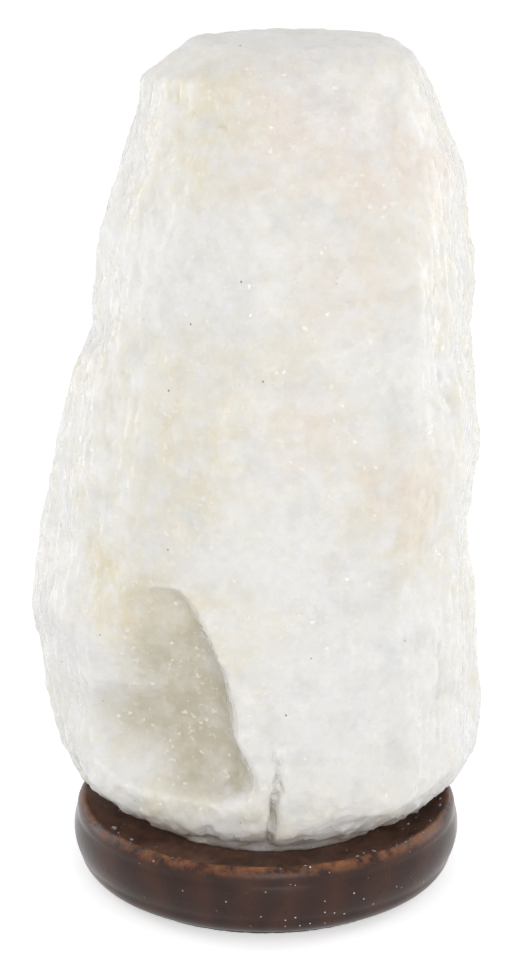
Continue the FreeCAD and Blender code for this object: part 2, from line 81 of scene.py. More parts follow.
def startMaterial(name):
    material = bpy.data.materials.new(name)
    material.use_nodes = True
    material.node_tree.nodes.clear()
    place = addNode(material.node_tree, "TexCoord").outputs["Object"]
    return material, material.node_tree, place


def finishMaterial(tree, shader):
    addNode(tree, "OutputMaterial", {"Surface": shader})


def perMm(size):
    # texture scale for a pattern that repeats every so many millimetres
    return 1 / (size * mm)


def pushedAbout(tree, place, size, reach):
    # the place, moved about by soft noise, so that patterns lose their straight edges
    stir = addNode(tree, "TexNoise", {"Vector": place, "Scale": perMm(size), "Detail": 3.0, "Roughness": 0.6})
    centred = addNode(tree, "VectorMath", {0: stir.outputs["Color"], 1: (0.5, 0.5, 0.5)},
                      operation="SUBTRACT")
    push = addNode(tree, "VectorMath", {0: centred, "Scale": reach * mm}, operation="SCALE")
    return addNode(tree, "VectorMath", {0: place, 1: push}, operation="ADD")


def newPiece(name, mesh, material, body, replaced=None):
    piece = bpy.data.objects.new(name, mesh)
    bpy.context.scene.collection.objects.link(piece)
    mesh.materials.clear()
    mesh.materials.append(material)
    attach(piece, body)
    if replaced:
        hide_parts(replaced)
    return piece


def dress(node, material):
    mesh = frame["nodes"][node].data
    mesh.materials.clear()
    mesh.materials.append(material)


def smoothByAngle(mesh, degrees):
    work = bmesh.new()
    work.from_mesh(mesh)
    for face in work.faces:
        face.smooth = True
    for edge in work.edges:
        edge.smooth = len(edge.link_faces) == 2 and edge.calc_face_angle(0.0) < math.radians(degrees)
    work.to_mesh(mesh)
    work.free()


def modified(mesh, modifiers, groups=None):
    # the mesh after a stack of modifiers, each a kind and its settings
    holder = bpy.data.objects.new("holder", mesh)
    bpy.context.scene.collection.objects.link(holder)
    for name, weights in (groups or {}).items():
        group = holder.vertex_groups.new(name=name)
        for index, weight in enumerate(weights):
            group.add([index], weight, "REPLACE")
    for kind, settings in modifiers:
        modifier = holder.modifiers.new(kind.lower(), kind)
        for name, value in settings.items():
            setattr(modifier, name, value)
    depsgraph = bpy.context.evaluated_depsgraph_get()
    done = bpy.data.meshes.new_from_object(holder.evaluated_get(depsgraph))
    bpy.data.objects.remove(holder)
    return done


def cutAway(mesh, tool):
    # the mesh less another closed mesh
    cutter = bpy.data.objects.new("cutter", tool)
    bpy.context.scene.collection.objects.link(cutter)
    done = modified(mesh, [("BOOLEAN", {
        "operation": "DIFFERENCE", "solver": "EXACT", "use_self": True, "object": cutter})])
    bpy.data.objects.remove(cutter)
    return done


def meshFrom(work, name):
    mesh = bpy.data.meshes.new(name)
    work.to_mesh(mesh)
    work.free()
    return mesh


def repeated(mesh, places):
    # the same mesh at several places, as one mesh
    work = bmesh.new()
    for place in places:
        first = len(work.verts)
        work.from_mesh(mesh)
        work.verts.ensure_lookup_table()
        bmesh.ops.transform(work, matrix=place, verts=work.verts[first:])
    return meshFrom(work, mesh.name)


def arcPoints(start, through, end, count):
    # points along the arc of a circle through three points of (radius, height)
    (ax, ay), (bx, by), (cx, cy) = start, through, end
    twice = 2 * (ax * (by - cy) + bx * (cy - ay) + cx * (ay - by))
    a, b, c = ax * ax + ay * ay, bx * bx + by * by, cx * cx + cy * cy
    x = (a * (by - cy) + b * (cy - ay) + c * (ay - by)) / twice
    y = (a * (cx - bx) + b * (ax - cx) + c * (bx - ax)) / twice
    radius = math.hypot(ax - x, ay - y)
    first = math.atan2(ay - y, ax - x)
    middle = (math.atan2(by - y, bx - x) - first) % math.tau
    sweep = (math.atan2(cy - y, cx - x) - first) % math.tau
    if middle > sweep:
        sweep -= math.tau
    turns = [first + sweep * step / count for step in range(count + 1)]
    return [(x + radius * math.cos(turn), y + radius * math.sin(turn)) for turn in turns]


def linePoints(start, end, spacing):
    # points along a straight line, without its first, no further apart than the spacing
    count = max(1, math.ceil(math.dist(start, end) / spacing))
    return [tuple(a + (b - a) * step / count for a, b in zip(start, end)) for step in range(1, count + 1)]


def turnedMesh(name, outline, segments, shape=None):
    # a closed outline of (radius, height) in mm, turned about the axis; shape may move each point
    work = bmesh.new()
    rings = []
    for radius, height in outline:
        if radius < 1e-4:
            rings.append([work.verts.new((0, 0, height * mm))] * segments)
            continue
        ring = []
        for step in range(segments):
            turn = math.tau * step / segments
            r, z = shape(radius, height, turn) if shape else (radius, height)
            ring.append(work.verts.new((r * mm * math.cos(turn), r * mm * math.sin(turn), z * mm)))
        rings.append(ring)
    for low, high in zip(rings, rings[1:] + rings[:1]):
        for step in range(segments):
            following = (step + 1) % segments
            corners = [low[step], low[following], high[following], high[step]]
            corners = [v for at, v in enumerate(corners) if v not in corners[:at]]
            if len(corners) > 2:
                work.faces.new(corners)
    bmesh.ops.recalc_face_normals(work, faces=work.faces)
    return meshFrom(work, name)


def wireMesh(name, points, radius, sides):
    # round wire along a list of points in mm
    curve = bpy.data.curves.new(name, "CURVE")
    curve.dimensions = "3D"
    curve.bevel_depth = radius * mm
    curve.bevel_resolution = sides
    curve.use_fill_caps = True
    spline = curve.splines.new("POLY")
    spline.points.add(len(points) - 1)
    for point, place in zip(spline.points, points):
        point.co = (*(Vector(place) * mm), 1)
    holder = bpy.data.objects.new(name, curve)
    bpy.context.scene.collection.objects.link(holder)
    depsgraph = bpy.context.evaluated_depsgraph_get()
    mesh = bpy.data.meshes.new_from_object(holder.evaluated_get(depsgraph))
    bpy.data.objects.remove(holder)
    return mesh


def softened(points, passes):
    # a bent path with its corners cut again and again until they are round
    for _ in range(passes):
        cut = [points[0]]
        for a, b in zip(points, points[1:]):
            cut += [a.lerp(b, 0.25), a.lerp(b, 0.75)]
        points = cut + [points[-1]]
    return points


def smoothStep(low, high, value):
    share = min(1.0, max(0.0, (value - low) / (high - low)))
    return share * share * (3 - 2 * share)


# Rock salt crystal: the colours and how they lie in the stone

salt = {
    "white": "#efeeec",
    "cream": "#e9e1c9",
    "pink": "#ecdfd7",
    "veil": "#dfdfde",  # greyer clouds under the surface
    "clear": "#cdc6b3",  # clearer salt where the light sinks in deepest, and painted shade in the deep hollow
    "bruise": "#f8f4ea",  # grains crushed white, also the colour painted on the clear windows as painted glints
    "speck": "#8d877a",
    "depth": 3.5,  # mm that light travels inside the stone
    "cloud": 24.0,  # mm across, the soft clouds in the stone
    "mottle": 8.0,
    "grain": 2.4,  # mm, the broken grains
    "crushed": 2.2,
    "fineGrain": 0.9,
    "windowAndPaintedGlint": 2.1,  # mm between the clear grains that flash; they are also painted whiter as painted glints
    "speckGap": 7.0,
    "drift": 13.0,  # mm across, the grey veils
    "streak": 2.6,  # mm between the upright streaks of the cleaved sides
    "stray": (30, 42),  # mm, how wide and how far the edges of the patches wander
    "relief": (0.3, 0.25, 0.5, 0.18),  # mm: grains, crushed grains, cleaved sheets, fine grain
    "creamPatches": [  # place in mm, reach in mm, strength
        ((-22, -35, 248), 36, 0.6),
        ((-26, -45, 158), 44, 0.5),
        ((-19, -50, 150), 20, 0.45),
        ((4, -55, 172), 30, 0.4),
        ((44, -48, 134), 30, 0.6),
        ((-38, -42, 106), 30, 0.75),
        ((38, -40, 212), 22, 0.35),
    ],
    "pinkPatches": [
        ((14, -38, 246), 34, 0.4),
        ((38, -38, 238), 30, 0.45),
        ((30, -46, 205), 26, 0.3),
        ((14, -55, 160), 22, 0.3),
        ((44, -48, 140), 22, 0.35),
    ],
    # patches of clearer salt in the hollow that also carry its painted shade, darkest low by the right wall
    "hollowShadeAndClearPatches": [
        ((-30, -42, 103), 15, 0.55),
        ((-28, -41, 88), 20, 0.85),
        ((-20, -39, 72), 20, 1.0),
        ((-34, -35, 64), 19, 0.8),
        ((-19, -35, 54), 20, 1.0),
        ((-8, -40, 48), 11, 0.9),
    ],
    "whitePatches": [
        ((-31, -42, 208), 26, 0.9),
        ((25, -52, 78), 46, 1.0),
        ((-58, -28, 80), 26, 0.9),
        ((-9, -56, 126), 14, 0.7),
    ],
}


def patchAmount(tree, place, patches):
    # the strongest of several soft round patches
    amount = None
    for spot, reach, strength in patches:
        far = addNode(tree, "VectorMath", {0: place, 1: [c * mm for c in spot]}, operation="DISTANCE")
        fade = addNode(tree, "MapRange", {
            "Value": far.outputs["Value"], "From Min": reach * 1.15 * mm, "From Max": reach * 0.25 * mm,
            "To Min": 0.0, "To Max": strength}, interpolation_type="SMOOTHSTEP")
        amount = fade if amount is None else addNode(tree, "Math", {0: amount, 1: fade}, operation="MAXIMUM")
    return amount


def rockSaltHewn(look):
    # rock salt, hewn: cloudy white that light sinks into, cream and pink where clay came in,
    # with small cleaved grains that flash and two side faces that are cleaved smooth;
    # painted shade darkens the deep hollow, and the flashing grains are painted whiter as painted glints
    material, tree, place = startMaterial("rock_salt_hewn")
    strayed = pushedAbout(tree, place, *look["stray"])
    cream = patchAmount(tree, strayed, look["creamPatches"])
    pink = patchAmount(tree, strayed, look["pinkPatches"])
    white = patchAmount(tree, strayed, look["whitePatches"])
    # painted shade: these patches darken the hollow, along with its clearer salt
    clear = patchAmount(tree, pushedAbout(tree, place, 9, 9), look["hollowShadeAndClearPatches"])

    cloud = addNode(tree, "TexNoise", {"Vector": strayed, "Scale": perMm(look["cloud"]), "Detail": 4.0,
                                       "Roughness": 0.55})
    cloudShare = addNode(tree, "MapRange", {"Value": cloud, "From Min": 0.4, "From Max": 0.66, "To Max": 0.5})
    mottle = addNode(tree, "TexNoise", {"Vector": place, "Scale": perMm(look["mottle"]), "Detail": 6.0,
                                        "Roughness": 0.65})
    mottleShare = addNode(tree, "MapRange", {"Value": mottle, "From Min": 0.38, "From Max": 0.62,
                                             "To Min": 0.25, "To Max": 1.35})
    creamMost = addNode(tree, "Math", {0: cream, 1: cloudShare}, operation="MAXIMUM")
    creamBroken = addNode(tree, "Math", {0: creamMost, 1: mottleShare}, operation="MULTIPLY")
    notWhite = addNode(tree, "Math", {0: 1.0, 1: white}, operation="SUBTRACT")
    creamAmount = addNode(tree, "Math", {0: creamBroken, 1: notWhite}, operation="MULTIPLY", use_clamp=True)
    pinkAmount = addNode(tree, "Math", {0: pink, 1: mottleShare}, operation="MULTIPLY", use_clamp=True)
    hollowShadeAndClearShare = addNode(tree, "MapRange", {"Value": mottle, "From Min": 0.3, "From Max": 0.6,
                                            "To Min": 0.55, "To Max": 1.15})
    hollowShadeAndClearAmount = addNode(tree, "Math", {0: clear, 1: hollowShadeAndClearShare}, operation="MULTIPLY", use_clamp=True)
    drift = addNode(tree, "TexNoise", {"Vector": pushedAbout(tree, place, 12, 8),
                                       "Scale": perMm(look["drift"]),
                                       "Detail": 5.0, "Roughness": 0.6})
    veil = addNode(tree, "MapRange", {"Value": drift, "From Min": 0.5, "From Max": 0.68, "To Max": 0.6})
    colour = addNode(tree, "MixRGB", {"Fac": veil, "Color1": linear(look["white"]),
                                      "Color2": linear(look["veil"])})
    colour = addNode(tree, "MixRGB", {"Fac": creamAmount, "Color1": colour, "Color2": linear(look["cream"])})
    colour = addNode(tree, "MixRGB", {"Fac": pinkAmount, "Color1": colour, "Color2": linear(look["pink"])})
    # towards the clear colour: clearer salt and painted shade in the hollow
    colour = addNode(tree, "MixRGB", {"Fac": hollowShadeAndClearAmount, "Color1": colour, "Color2": linear(look["clear"])})

    # grains crushed white, in loose flocks
    crushed = addNode(tree, "TexNoise", {"Vector": pushedAbout(tree, place, 2.0, 0.7),
                                         "Scale": perMm(look["crushed"]),
                                         "Detail": 3.0, "Roughness": 0.6})
    flocks = addNode(tree, "MapRange", {"Value": drift, "From Min": 0.54, "From Max": 0.44})
    crushedShare = addNode(tree, "MapRange", {"Value": crushed, "From Min": 0.59, "From Max": 0.67,
                                              "To Max": 0.7})
    bruise = addNode(tree, "Math", {0: crushedShare, 1: flocks}, operation="MULTIPLY", use_clamp=True)
    colour = addNode(tree, "MixRGB", {"Fac": bruise, "Color1": colour, "Color2": linear(look["bruise"])})

    # each grain has its own tone, and a few are clear windows that lean their own way; those are also painted
    # whiter as painted glints
    rough = pushedAbout(tree, place, 1.4, 2.0)
    grain = addNode(tree, "TexVoronoi", {"Vector": rough, "Scale": perMm(look["grain"])})
    shade = addNode(tree, "SeparateColor", {"Color": grain.outputs["Color"]})
    shadeShare = addNode(tree, "MapRange", {"Value": shade.outputs["Red"], "To Min": 0.97, "To Max": 1.01})
    colour = addNode(tree, "MixRGB", {"Fac": 1.0, "Color1": colour, "Color2": shadeShare},
                     blend_type="MULTIPLY")
    spots = addNode(tree, "TexVoronoi", {"Vector": rough, "Scale": perMm(look["windowAndPaintedGlint"])})
    spotPick = addNode(tree, "SeparateColor", {"Color": spots.outputs["Color"]})
    clumps = addNode(tree, "MapRange", {"Value": mottle, "From Min": 0.46, "From Max": 0.6, "To Min": 0.05,
                                        "To Max": 0.34})
    picked = addNode(tree, "Math", {0: spotPick.outputs["Green"], 1: clumps}, operation="LESS_THAN")
    spotSize = addNode(tree, "MapRange", {"Value": spots.outputs["Distance"], "From Min": 0.36,
                                          "From Max": 0.24})
    windowAndPaintedGlint = addNode(tree, "Math", {0: picked, 1: spotSize}, operation="MULTIPLY", use_clamp=True)
    # painted glint: the picked windows are painted whiter
    paintedGlintWhitening = addNode(tree, "Math", {0: windowAndPaintedGlint, 1: spotPick.outputs["Blue"]}, operation="MULTIPLY")
    colour = addNode(tree, "MixRGB", {"Fac": paintedGlintWhitening, "Color1": colour, "Color2": linear(look["bruise"])})
    specks = addNode(tree, "TexVoronoi", {"Vector": place, "Scale": perMm(look["speckGap"])})
    speckPick = addNode(tree, "SeparateColor", {"Color": specks.outputs["Color"]})
    speckSmall = addNode(tree, "MapRange", {"Value": specks.outputs["Distance"], "From Min": 0.06,
                                            "From Max": 0.03})
    speckFew = addNode(tree, "Math", {0: speckPick.outputs["Red"], 1: 0.8}, operation="GREATER_THAN")
    speck = addNode(tree, "Math", {0: speckSmall, 1: speckFew}, operation="MULTIPLY", use_clamp=True)
    colour = addNode(tree, "MixRGB", {"Fac": speck, "Color1": colour, "Color2": linear(look["speck"])})

    # the left and right faces are cleaved smooth, with upright streaks
    facing = addNode(tree, "SeparateXYZ", {"Vector": addNode(tree, "NewGeometry").outputs["Normal"]})
    sideways = addNode(tree, "Math", {0: facing.outputs["X"]}, operation="ABSOLUTE")
    upright = addNode(tree, "VectorMath", {0: place, 1: (1.0, 1.0, 0.08)}, operation="MULTIPLY")
    streaks = addNode(tree, "TexNoise", {"Vector": upright, "Scale": perMm(look["streak"]), "Detail": 4.0})
    side = addNode(tree, "MapRange", {"Value": sideways, "From Min": 0.68, "From Max": 0.92},
                   interpolation_type="SMOOTHSTEP")
    streaked = addNode(tree, "MapRange", {"Value": streaks, "From Min": 0.46, "From Max": 0.54})
    cleaved = addNode(tree, "Math", {0: side, 1: streaked}, operation="MULTIPLY", use_clamp=True)

    sheen = addNode(tree, "MapRange", {"Value": mottle, "From Min": 0.3, "From Max": 0.7, "To Min": 0.4,
                                       "To Max": 0.62})
    polished = addNode(tree, "Math", {0: windowAndPaintedGlint, 1: cleaved}, operation="MAXIMUM")
    roughness = addNode(tree, "MixRGB", {"Fac": polished, "Color1": sheen, "Color2": (0.14, 0.14, 0.14, 1)})

    grainDeep, bruiseDeep, sheetDeep, fineDeep = [deep * mm for deep in look["relief"]]
    coarse = addNode(tree, "Bump", {"Height": grain.outputs["Distance"], "Strength": 0.4,
                                    "Distance": grainDeep})
    coarse = addNode(tree, "Bump", {"Height": bruise, "Normal": coarse, "Strength": 0.6,
                                    "Distance": bruiseDeep})
    sheets = addNode(tree, "Math", {0: streaks, 1: side}, operation="MULTIPLY")
    coarse = addNode(tree, "Bump", {"Height": sheets, "Normal": coarse, "Strength": 0.7,
                                    "Distance": sheetDeep})
    fine = addNode(tree, "TexNoise", {"Vector": place, "Scale": perMm(look["fineGrain"]), "Detail": 4.0,
                                      "Roughness": 0.7})
    surface = addNode(tree, "Bump", {"Height": fine, "Normal": coarse, "Strength": 0.6, "Distance": fineDeep})
    lean = addNode(tree, "VectorMath", {0: spots.outputs["Color"], 1: (0.5, 0.5, 0.5)}, operation="SUBTRACT")
    lean = addNode(tree, "VectorMath", {0: lean, "Scale": windowAndPaintedGlint}, operation="SCALE")
    leaning = addNode(tree, "VectorMath", {0: surface, 1: lean}, operation="ADD")
    leaning = addNode(tree, "VectorMath", {0: leaning}, operation="NORMALIZE")
    shader = addNode(tree, "BsdfPrincipled", {
        "Base Color": colour, "Roughness": roughness, "IOR": 1.54, "Normal": leaning,
        "Subsurface Weight": 1.0, "Subsurface Radius": (1.0, 0.93, 0.8),
        "Subsurface Scale": look["depth"] * mm})
    finishMaterial(tree, shader)
    return material


rockSalt = rockSaltHewn(salt)  # the stone and its crumbs

crystal = {
    "voxel": 1.3,  # mm between points of the mesh
    "weathering": 16,  # passes that round the block's edges
    "faces": (24.0, 0.04),  # size in mm and lean of the big broken faces
    "chips": (8.5, 0.11),
    "grains": (3.2, 0.2),
    "sheets": (3.4, 0.2),  # upright, on the two cleaved sides
    "swell": (17.0, 0.5),  # mm across and mm deep
    "limits": (-3.0, 1.0),  # mm that a point may move in and out
    "inward": 0.25,  # mm, so that little stands proud of the block
    "bore": (22.0, 117.0),  # radius and top
    "skin": 1.8,  # mm from the bore in which points belong to its wall
    "drillMark": (2.6, 0.12),  # pitch and depth
    "plugHoles": (27.5, (30, 150, 270), 4.4, 44.0),
    "foot": 18.0,
    "hollowEdges": [  # x and z of the two edges that have stayed sharp
        [(-34, 111), (-25, 111), (-21.5, 109), (-15.4, 96), (-11.2, 86.5), (-8, 73), (-7.9, 65),
         (-4.6, 57.5), (-2, 46)],
        [(-53.5, 70), (-55, 57), (-52, 47)],
    ],
    "cleftSides": (0.9, -0.8),  # mm, how far the stone right of the cleft stands out, and left of it back
    "cleftDepth": 0.9,
    "cleft": [(3.2, 58), (4.4, 48), (2.9, 44), (2.6, 36), (1.4, 27), (1.0, 18)],
}


def distanceToLine(x, z, line):
    # from a place on the front to a bent line on it, both as x and z
    nearest, side = 1e9, 0.0
    for (ax, az), (bx, bz) in zip(line, line[1:]):
        dx, dz = bx - ax, bz - az
        share = min(1.0, max(0.0, ((x - ax) * dx + (z - az) * dz) / (dx * dx + dz * dz)))
        gap = math.hypot(x - ax - share * dx, z - az - share * dz)
        if gap < nearest:
            nearest, side = gap, x - ax - share * dx
    return nearest, side


def brokenFaces(place, size, lean, seed):
    # each cell of the stone is broken off flat and leans its own way
    spot = place / size + Vector((seed, seed * 1.7, seed * 2.3))
    distances, centres = noise.voronoi(spot)
    heights = []
    for centre in centres[:2]:
        tilt = noise.cell_vector(centre + Vector((seed, 0, 0))) * 2 - Vector((1, 1, 1))
        heights.append((spot - centre).dot(tilt) * size * lean)
    share = 0.5 + 0.5 * smoothStep(0.0, 0.16, distances[1] - distances[0])
    return heights[0] * share + heights[1] * (1 - share)


def inBore(x, y, z):
    radius, top = crystal["bore"]
    return z < top + crystal["skin"] and math.hypot(x, y) < radius + crystal["skin"]


def boredPlace(place):
    # the wall and the end of the bore, with the marks of the drill
    radius, top = crystal["bore"]
    pitch, depth = crystal["drillMark"]
    reach = math.hypot(place.x, place.y)
    height = place.z
    if reach > radius - crystal["skin"]:
        wall = radius + depth * math.sin(math.tau * height / pitch)
        place = Vector((place.x / reach * wall, place.y / reach * wall, height))
    if height > top - crystal["skin"]:
        place = Vector((place.x, place.y, top + depth * math.sin(math.tau * reach / pitch)))
    return place


def inPlugHole(x, y, z):
    circle, angles, reach, top = crystal["plugHoles"]
    if z > top:
        return False
    for angle in angles:
        turn = math.radians(angle)
        if math.hypot(x - circle * math.cos(turn), y - circle * math.sin(turn)) < reach:
            return True
    return False


def makeCrystal():
    block = modified(frame["nodes"]["salt_crystal"].data.copy(), [
        ("REMESH", {"mode": "VOXEL", "voxel_size": crystal["voxel"] * mm})])
    weights = []
    for vertex in block.vertices:
        x, y, z = vertex.co / mm
        weight = 1.0
        if inBore(x, y, z) or inPlugHole(x, y, z) or z < crystal["foot"] + 1.0:
            weight = 0.0
        elif y < -15 and z < 118:
            gaps = [distanceToLine(x, z, edge)[0] for edge in crystal["hollowEdges"]]
            gaps.append(distanceToLine(x, z, crystal["cleft"])[0])
            weight = 0.12 + 0.88 * smoothStep(2.0, 9.0, min(gaps))
        weights.append(weight)
    block = modified(block, [
        ("SMOOTH", {"factor": 0.5, "iterations": crystal["weathering"], "vertex_group": "weathered"})],
        {"weathered": weights})

    facing = [tuple(vertex.normal) for vertex in block.vertices]
    for vertex, normal in zip(block.vertices, facing):
        place = vertex.co / mm
        x, y, z = place
        outward = Vector(normal)
        if z < crystal["foot"] + 1.0 or inPlugHole(x, y, z):
            continue
        if inBore(x, y, z):
            vertex.co = boredPlace(place) * mm
            continue
        onSide = smoothStep(0.55, 0.9, abs(outward.x))
        low = smoothStep(48, 26, z)
        height = brokenFaces(place, *crystal["faces"], 3.1)
        height += brokenFaces(place, *crystal["chips"], 7.7) * (0.5 + 0.1 * onSide + 0.7 * low)
        height += brokenFaces(place, *crystal["grains"], 1.3) * (0.45 + 0.1 * onSide + 0.7 * low)
        height += onSide * brokenFaces(Vector((x, y, z * 0.11)), *crystal["sheets"], 5.2)
        across, deep = crystal["swell"]
        height += deep * noise.fractal(place / across, 1.0, 2.0, 3)
        if y < -22 and z < 62:
            gap, side = distanceToLine(x, z, crystal["cleft"])
            right, left = crystal["cleftSides"]
            height += (right if side > 0 else left) * smoothStep(9.0, 1.5, gap)
            height -= crystal["cleftDepth"] * smoothStep(1.8, 0.4, gap)
        least, most = crystal["limits"]
        height = max(least, min(most, height)) - crystal["inward"]
        vertex.co += outward * height * mm
    smoothByAngle(block, 38)
    newPiece("hewn_salt_crystal", block, rockSalt, "lamp", "salt_crystal")
    print("salt crystal:", len(block.vertices), "points")


makeCrystal()


# Turned wooden base

woodLook = {
    "dark": "#33201a",
    "light": "#4d2e23",
    "pore": "#170b08",
    # bare wood on the rim; stronger at the front, where it is also painted light that lifts the stone's
    # shadow on the dish
    "worn": "#8a5a3c",
    "dishDustAndPaintedReflection": "#8a6a5a",  # salt dust and wear in the dish, and a painted pale reflection there
    "dust": "#d9d4cc",
    "bandSpacing": 15.08,  # mm between the brown bands
    "bandWave": 11.0,  # mm over which they waver
    "poreLength": 5.0,
    "poreWidth": 0.35,
    "rub": 7.0,  # mm across, the rubbed patches
    "smear": 16.0,
    "peel": 2.2,  # mm, the lacquer's faint orange peel
    "dustGap": 1.5,
    "dustDrift": 22.0,
    "dishEdge": (58.6, 56.0),  # mm from the axis, where the dust and the painted reflection in the dish come in
    "dishHeight": (17.0, 17.8),
    "rimHeight": (21.5, 25.2),  # mm, where the rim's wear comes in
    "frontFade": (20.0, -50.0),  # mm, from the back to the front, where wear and dust are stronger and the wear is also painted light that lifts the stone's shadow
}


def hardwoodStainedLacquered(look):
    # turned hardwood, stained dark and lacquered: brown streaks under a soft gloss,
    # worn to bare orange wood along the rim, with salt dust on it;
    # the dish is also painted paler as a painted reflection, and the rim's wear adds painted light at the
    # front
    material, tree, place = startMaterial("hardwood_stained_lacquered")
    axes = addNode(tree, "SeparateXYZ", {"Vector": place})
    along = addNode(tree, "VectorMath", {0: place, 1: (1.0, 0.16, 1.0)}, operation="MULTIPLY")
    wave = addNode(tree, "TexNoise", {"Vector": along, "Scale": perMm(look["bandWave"]), "Detail": 3.0,
                                      "Distortion": 0.6})
    # the wave node makes 20 / tau bands a unit
    rings = addNode(tree, "TexWave", {
        "Vector": along, "Scale": perMm(look["bandSpacing"]) * math.tau / 20, "Distortion": 7.0,
        "Detail": 3.0,
        "Detail Scale": 1.4}, wave_type="BANDS", bands_direction="X")
    ringShare = addNode(tree, "Math", {0: rings, 1: wave}, operation="MULTIPLY")
    colour = addNode(tree, "MixRGB", {"Fac": ringShare, "Color1": linear(look["dark"]),
                                      "Color2": linear(look["light"])})
    pores = addNode(tree, "Mapping", {"Vector": place, "Scale": (
        perMm(look["poreWidth"]), perMm(look["poreLength"]), perMm(look["poreWidth"]))})
    poreNoise = addNode(tree, "TexNoise", {"Vector": pores, "Scale": 1.0, "Detail": 2.0})
    poreShare = addNode(tree, "MapRange", {"Value": poreNoise, "From Min": 0.62, "From Max": 0.72,
                                           "To Max": 0.6})
    colour = addNode(tree, "MixRGB", {"Fac": poreShare, "Color1": colour, "Color2": linear(look["pore"])})

    # the dish inside the rim is dull with salt dust, and painted paler as a painted reflection of the bright
    # surroundings
    rubbed = addNode(tree, "TexNoise", {"Vector": place, "Scale": perMm(look["rub"]), "Detail": 6.0,
                                        "Roughness": 0.7})
    flat = addNode(tree, "VectorMath", {0: place, 1: (1.0, 1.0, 0.0)}, operation="MULTIPLY")
    reach = addNode(tree, "VectorMath", {0: flat}, operation="LENGTH").outputs["Value"]
    outer, inner = look["dishEdge"]
    within = addNode(tree, "MapRange", {"Value": reach, "From Min": outer * mm, "From Max": inner * mm})
    low, high = look["dishHeight"]
    above = addNode(tree, "MapRange", {"Value": axes.outputs["Z"], "From Min": low * mm,
                                       "From Max": high * mm})
    dishDustAndReflectionWhere = addNode(tree, "MapRange", {"Value": rubbed, "From Min": 0.35, "From Max": 0.62,
                                           "To Min": 0.25, "To Max": 0.85})
    dishDustAndPaintedReflection = addNode(tree, "Math", {0: within, 1: above}, operation="MULTIPLY")
    dishDustAndPaintedReflection = addNode(tree, "Math", {0: dishDustAndPaintedReflection, 1: dishDustAndReflectionWhere}, operation="MULTIPLY", use_clamp=True)
    # painted reflection: the dish is painted paler, together with its dust
    colour = addNode(tree, "MixRGB", {"Fac": dishDustAndPaintedReflection, "Color1": colour, "Color2": linear(look["dishDustAndPaintedReflection"])})

    # the rim is rubbed bare on its crest and inner side, most at the front, where this is also painted light
    # that lifts the stone's shadow on the dish
    low, high = look["rimHeight"]
    height = addNode(tree, "MapRange", {"Value": axes.outputs["Z"], "From Min": low * mm,
                                        "From Max": high * mm},
                     interpolation_type="SMOOTHSTEP")
    back, near = look["frontFade"]
    front = addNode(tree, "MapRange", {"Value": axes.outputs["Y"], "From Min": back * mm,
                                       "From Max": near * mm,
                                       "To Min": 0.35, "To Max": 1.0})
    rubbedShare = addNode(tree, "MapRange", {"Value": rubbed, "From Min": 0.42, "From Max": 0.6})
    worn = addNode(tree, "Math", {0: height, 1: front}, operation="MULTIPLY")
    worn = addNode(tree, "Math", {0: worn, 1: rubbedShare}, operation="MULTIPLY", use_clamp=True)
    colour = addNode(tree, "MixRGB", {"Fac": worn, "Color1": colour, "Color2": linear(look["worn"])})

    dust = addNode(tree, "TexVoronoi", {"Vector": place, "Scale": perMm(look["dustGap"])})
    dustPick = addNode(tree, "SeparateColor", {"Color": dust.outputs["Color"]})
    dustPicked = addNode(tree, "Math", {0: dustPick.outputs["Red"], 1: 0.9}, operation="GREATER_THAN")
    dustDot = addNode(tree, "Math", {0: dust.outputs["Distance"], 1: 0.2}, operation="LESS_THAN")
    dusty = addNode(tree, "Math", {0: dustPicked, 1: dustDot}, operation="MULTIPLY")
    dustWhere = addNode(tree, "TexNoise", {"Vector": place, "Scale": perMm(look["dustDrift"]), "Detail": 2.0})
    dustShare = addNode(tree, "MapRange", {"Value": dustWhere, "From Min": 0.45, "From Max": 0.6})
    dusty = addNode(tree, "Math", {0: dusty, 1: dustShare}, operation="MULTIPLY")
    dusty = addNode(tree, "Math", {0: dusty, 1: front}, operation="MULTIPLY", use_clamp=True)
    colour = addNode(tree, "MixRGB", {"Fac": dusty, "Color1": colour, "Color2": linear(look["dust"])})

    smear = addNode(tree, "TexNoise", {"Vector": place, "Scale": perMm(look["smear"]), "Detail": 4.0})
    gloss = addNode(tree, "MapRange", {"Value": smear, "From Min": 0.3, "From Max": 0.7, "To Min": 0.2,
                                       "To Max": 0.36})
    dulled = addNode(tree, "Math", {0: worn, 1: dusty}, operation="ADD", use_clamp=True)
    dulled = addNode(tree, "Math", {0: dulled, 1: dishDustAndPaintedReflection}, operation="MAXIMUM")
    gloss = addNode(tree, "MixRGB", {"Fac": dulled, "Color1": gloss, "Color2": (0.62, 0.62, 0.62, 1)})
    peel = addNode(tree, "TexNoise", {"Vector": place, "Scale": perMm(look["peel"]), "Detail": 2.0})
    bump = addNode(tree, "Bump", {"Height": peel, "Strength": 0.25, "Distance": 0.12 * mm})
    bump = addNode(tree, "Bump", {"Height": poreNoise, "Normal": bump, "Strength": 0.3,
                                  "Distance": 0.08 * mm})
    bump = addNode(tree, "Bump", {"Height": dusty, "Normal": bump, "Strength": 0.8, "Distance": 0.15 * mm})
    shader = addNode(tree, "BsdfPrincipled", {
        "Base Color": colour, "Roughness": gloss, "IOR": 1.5, "Specular IOR Level": 0.25, "Normal": bump})
    finishMaterial(tree, shader)
    return material


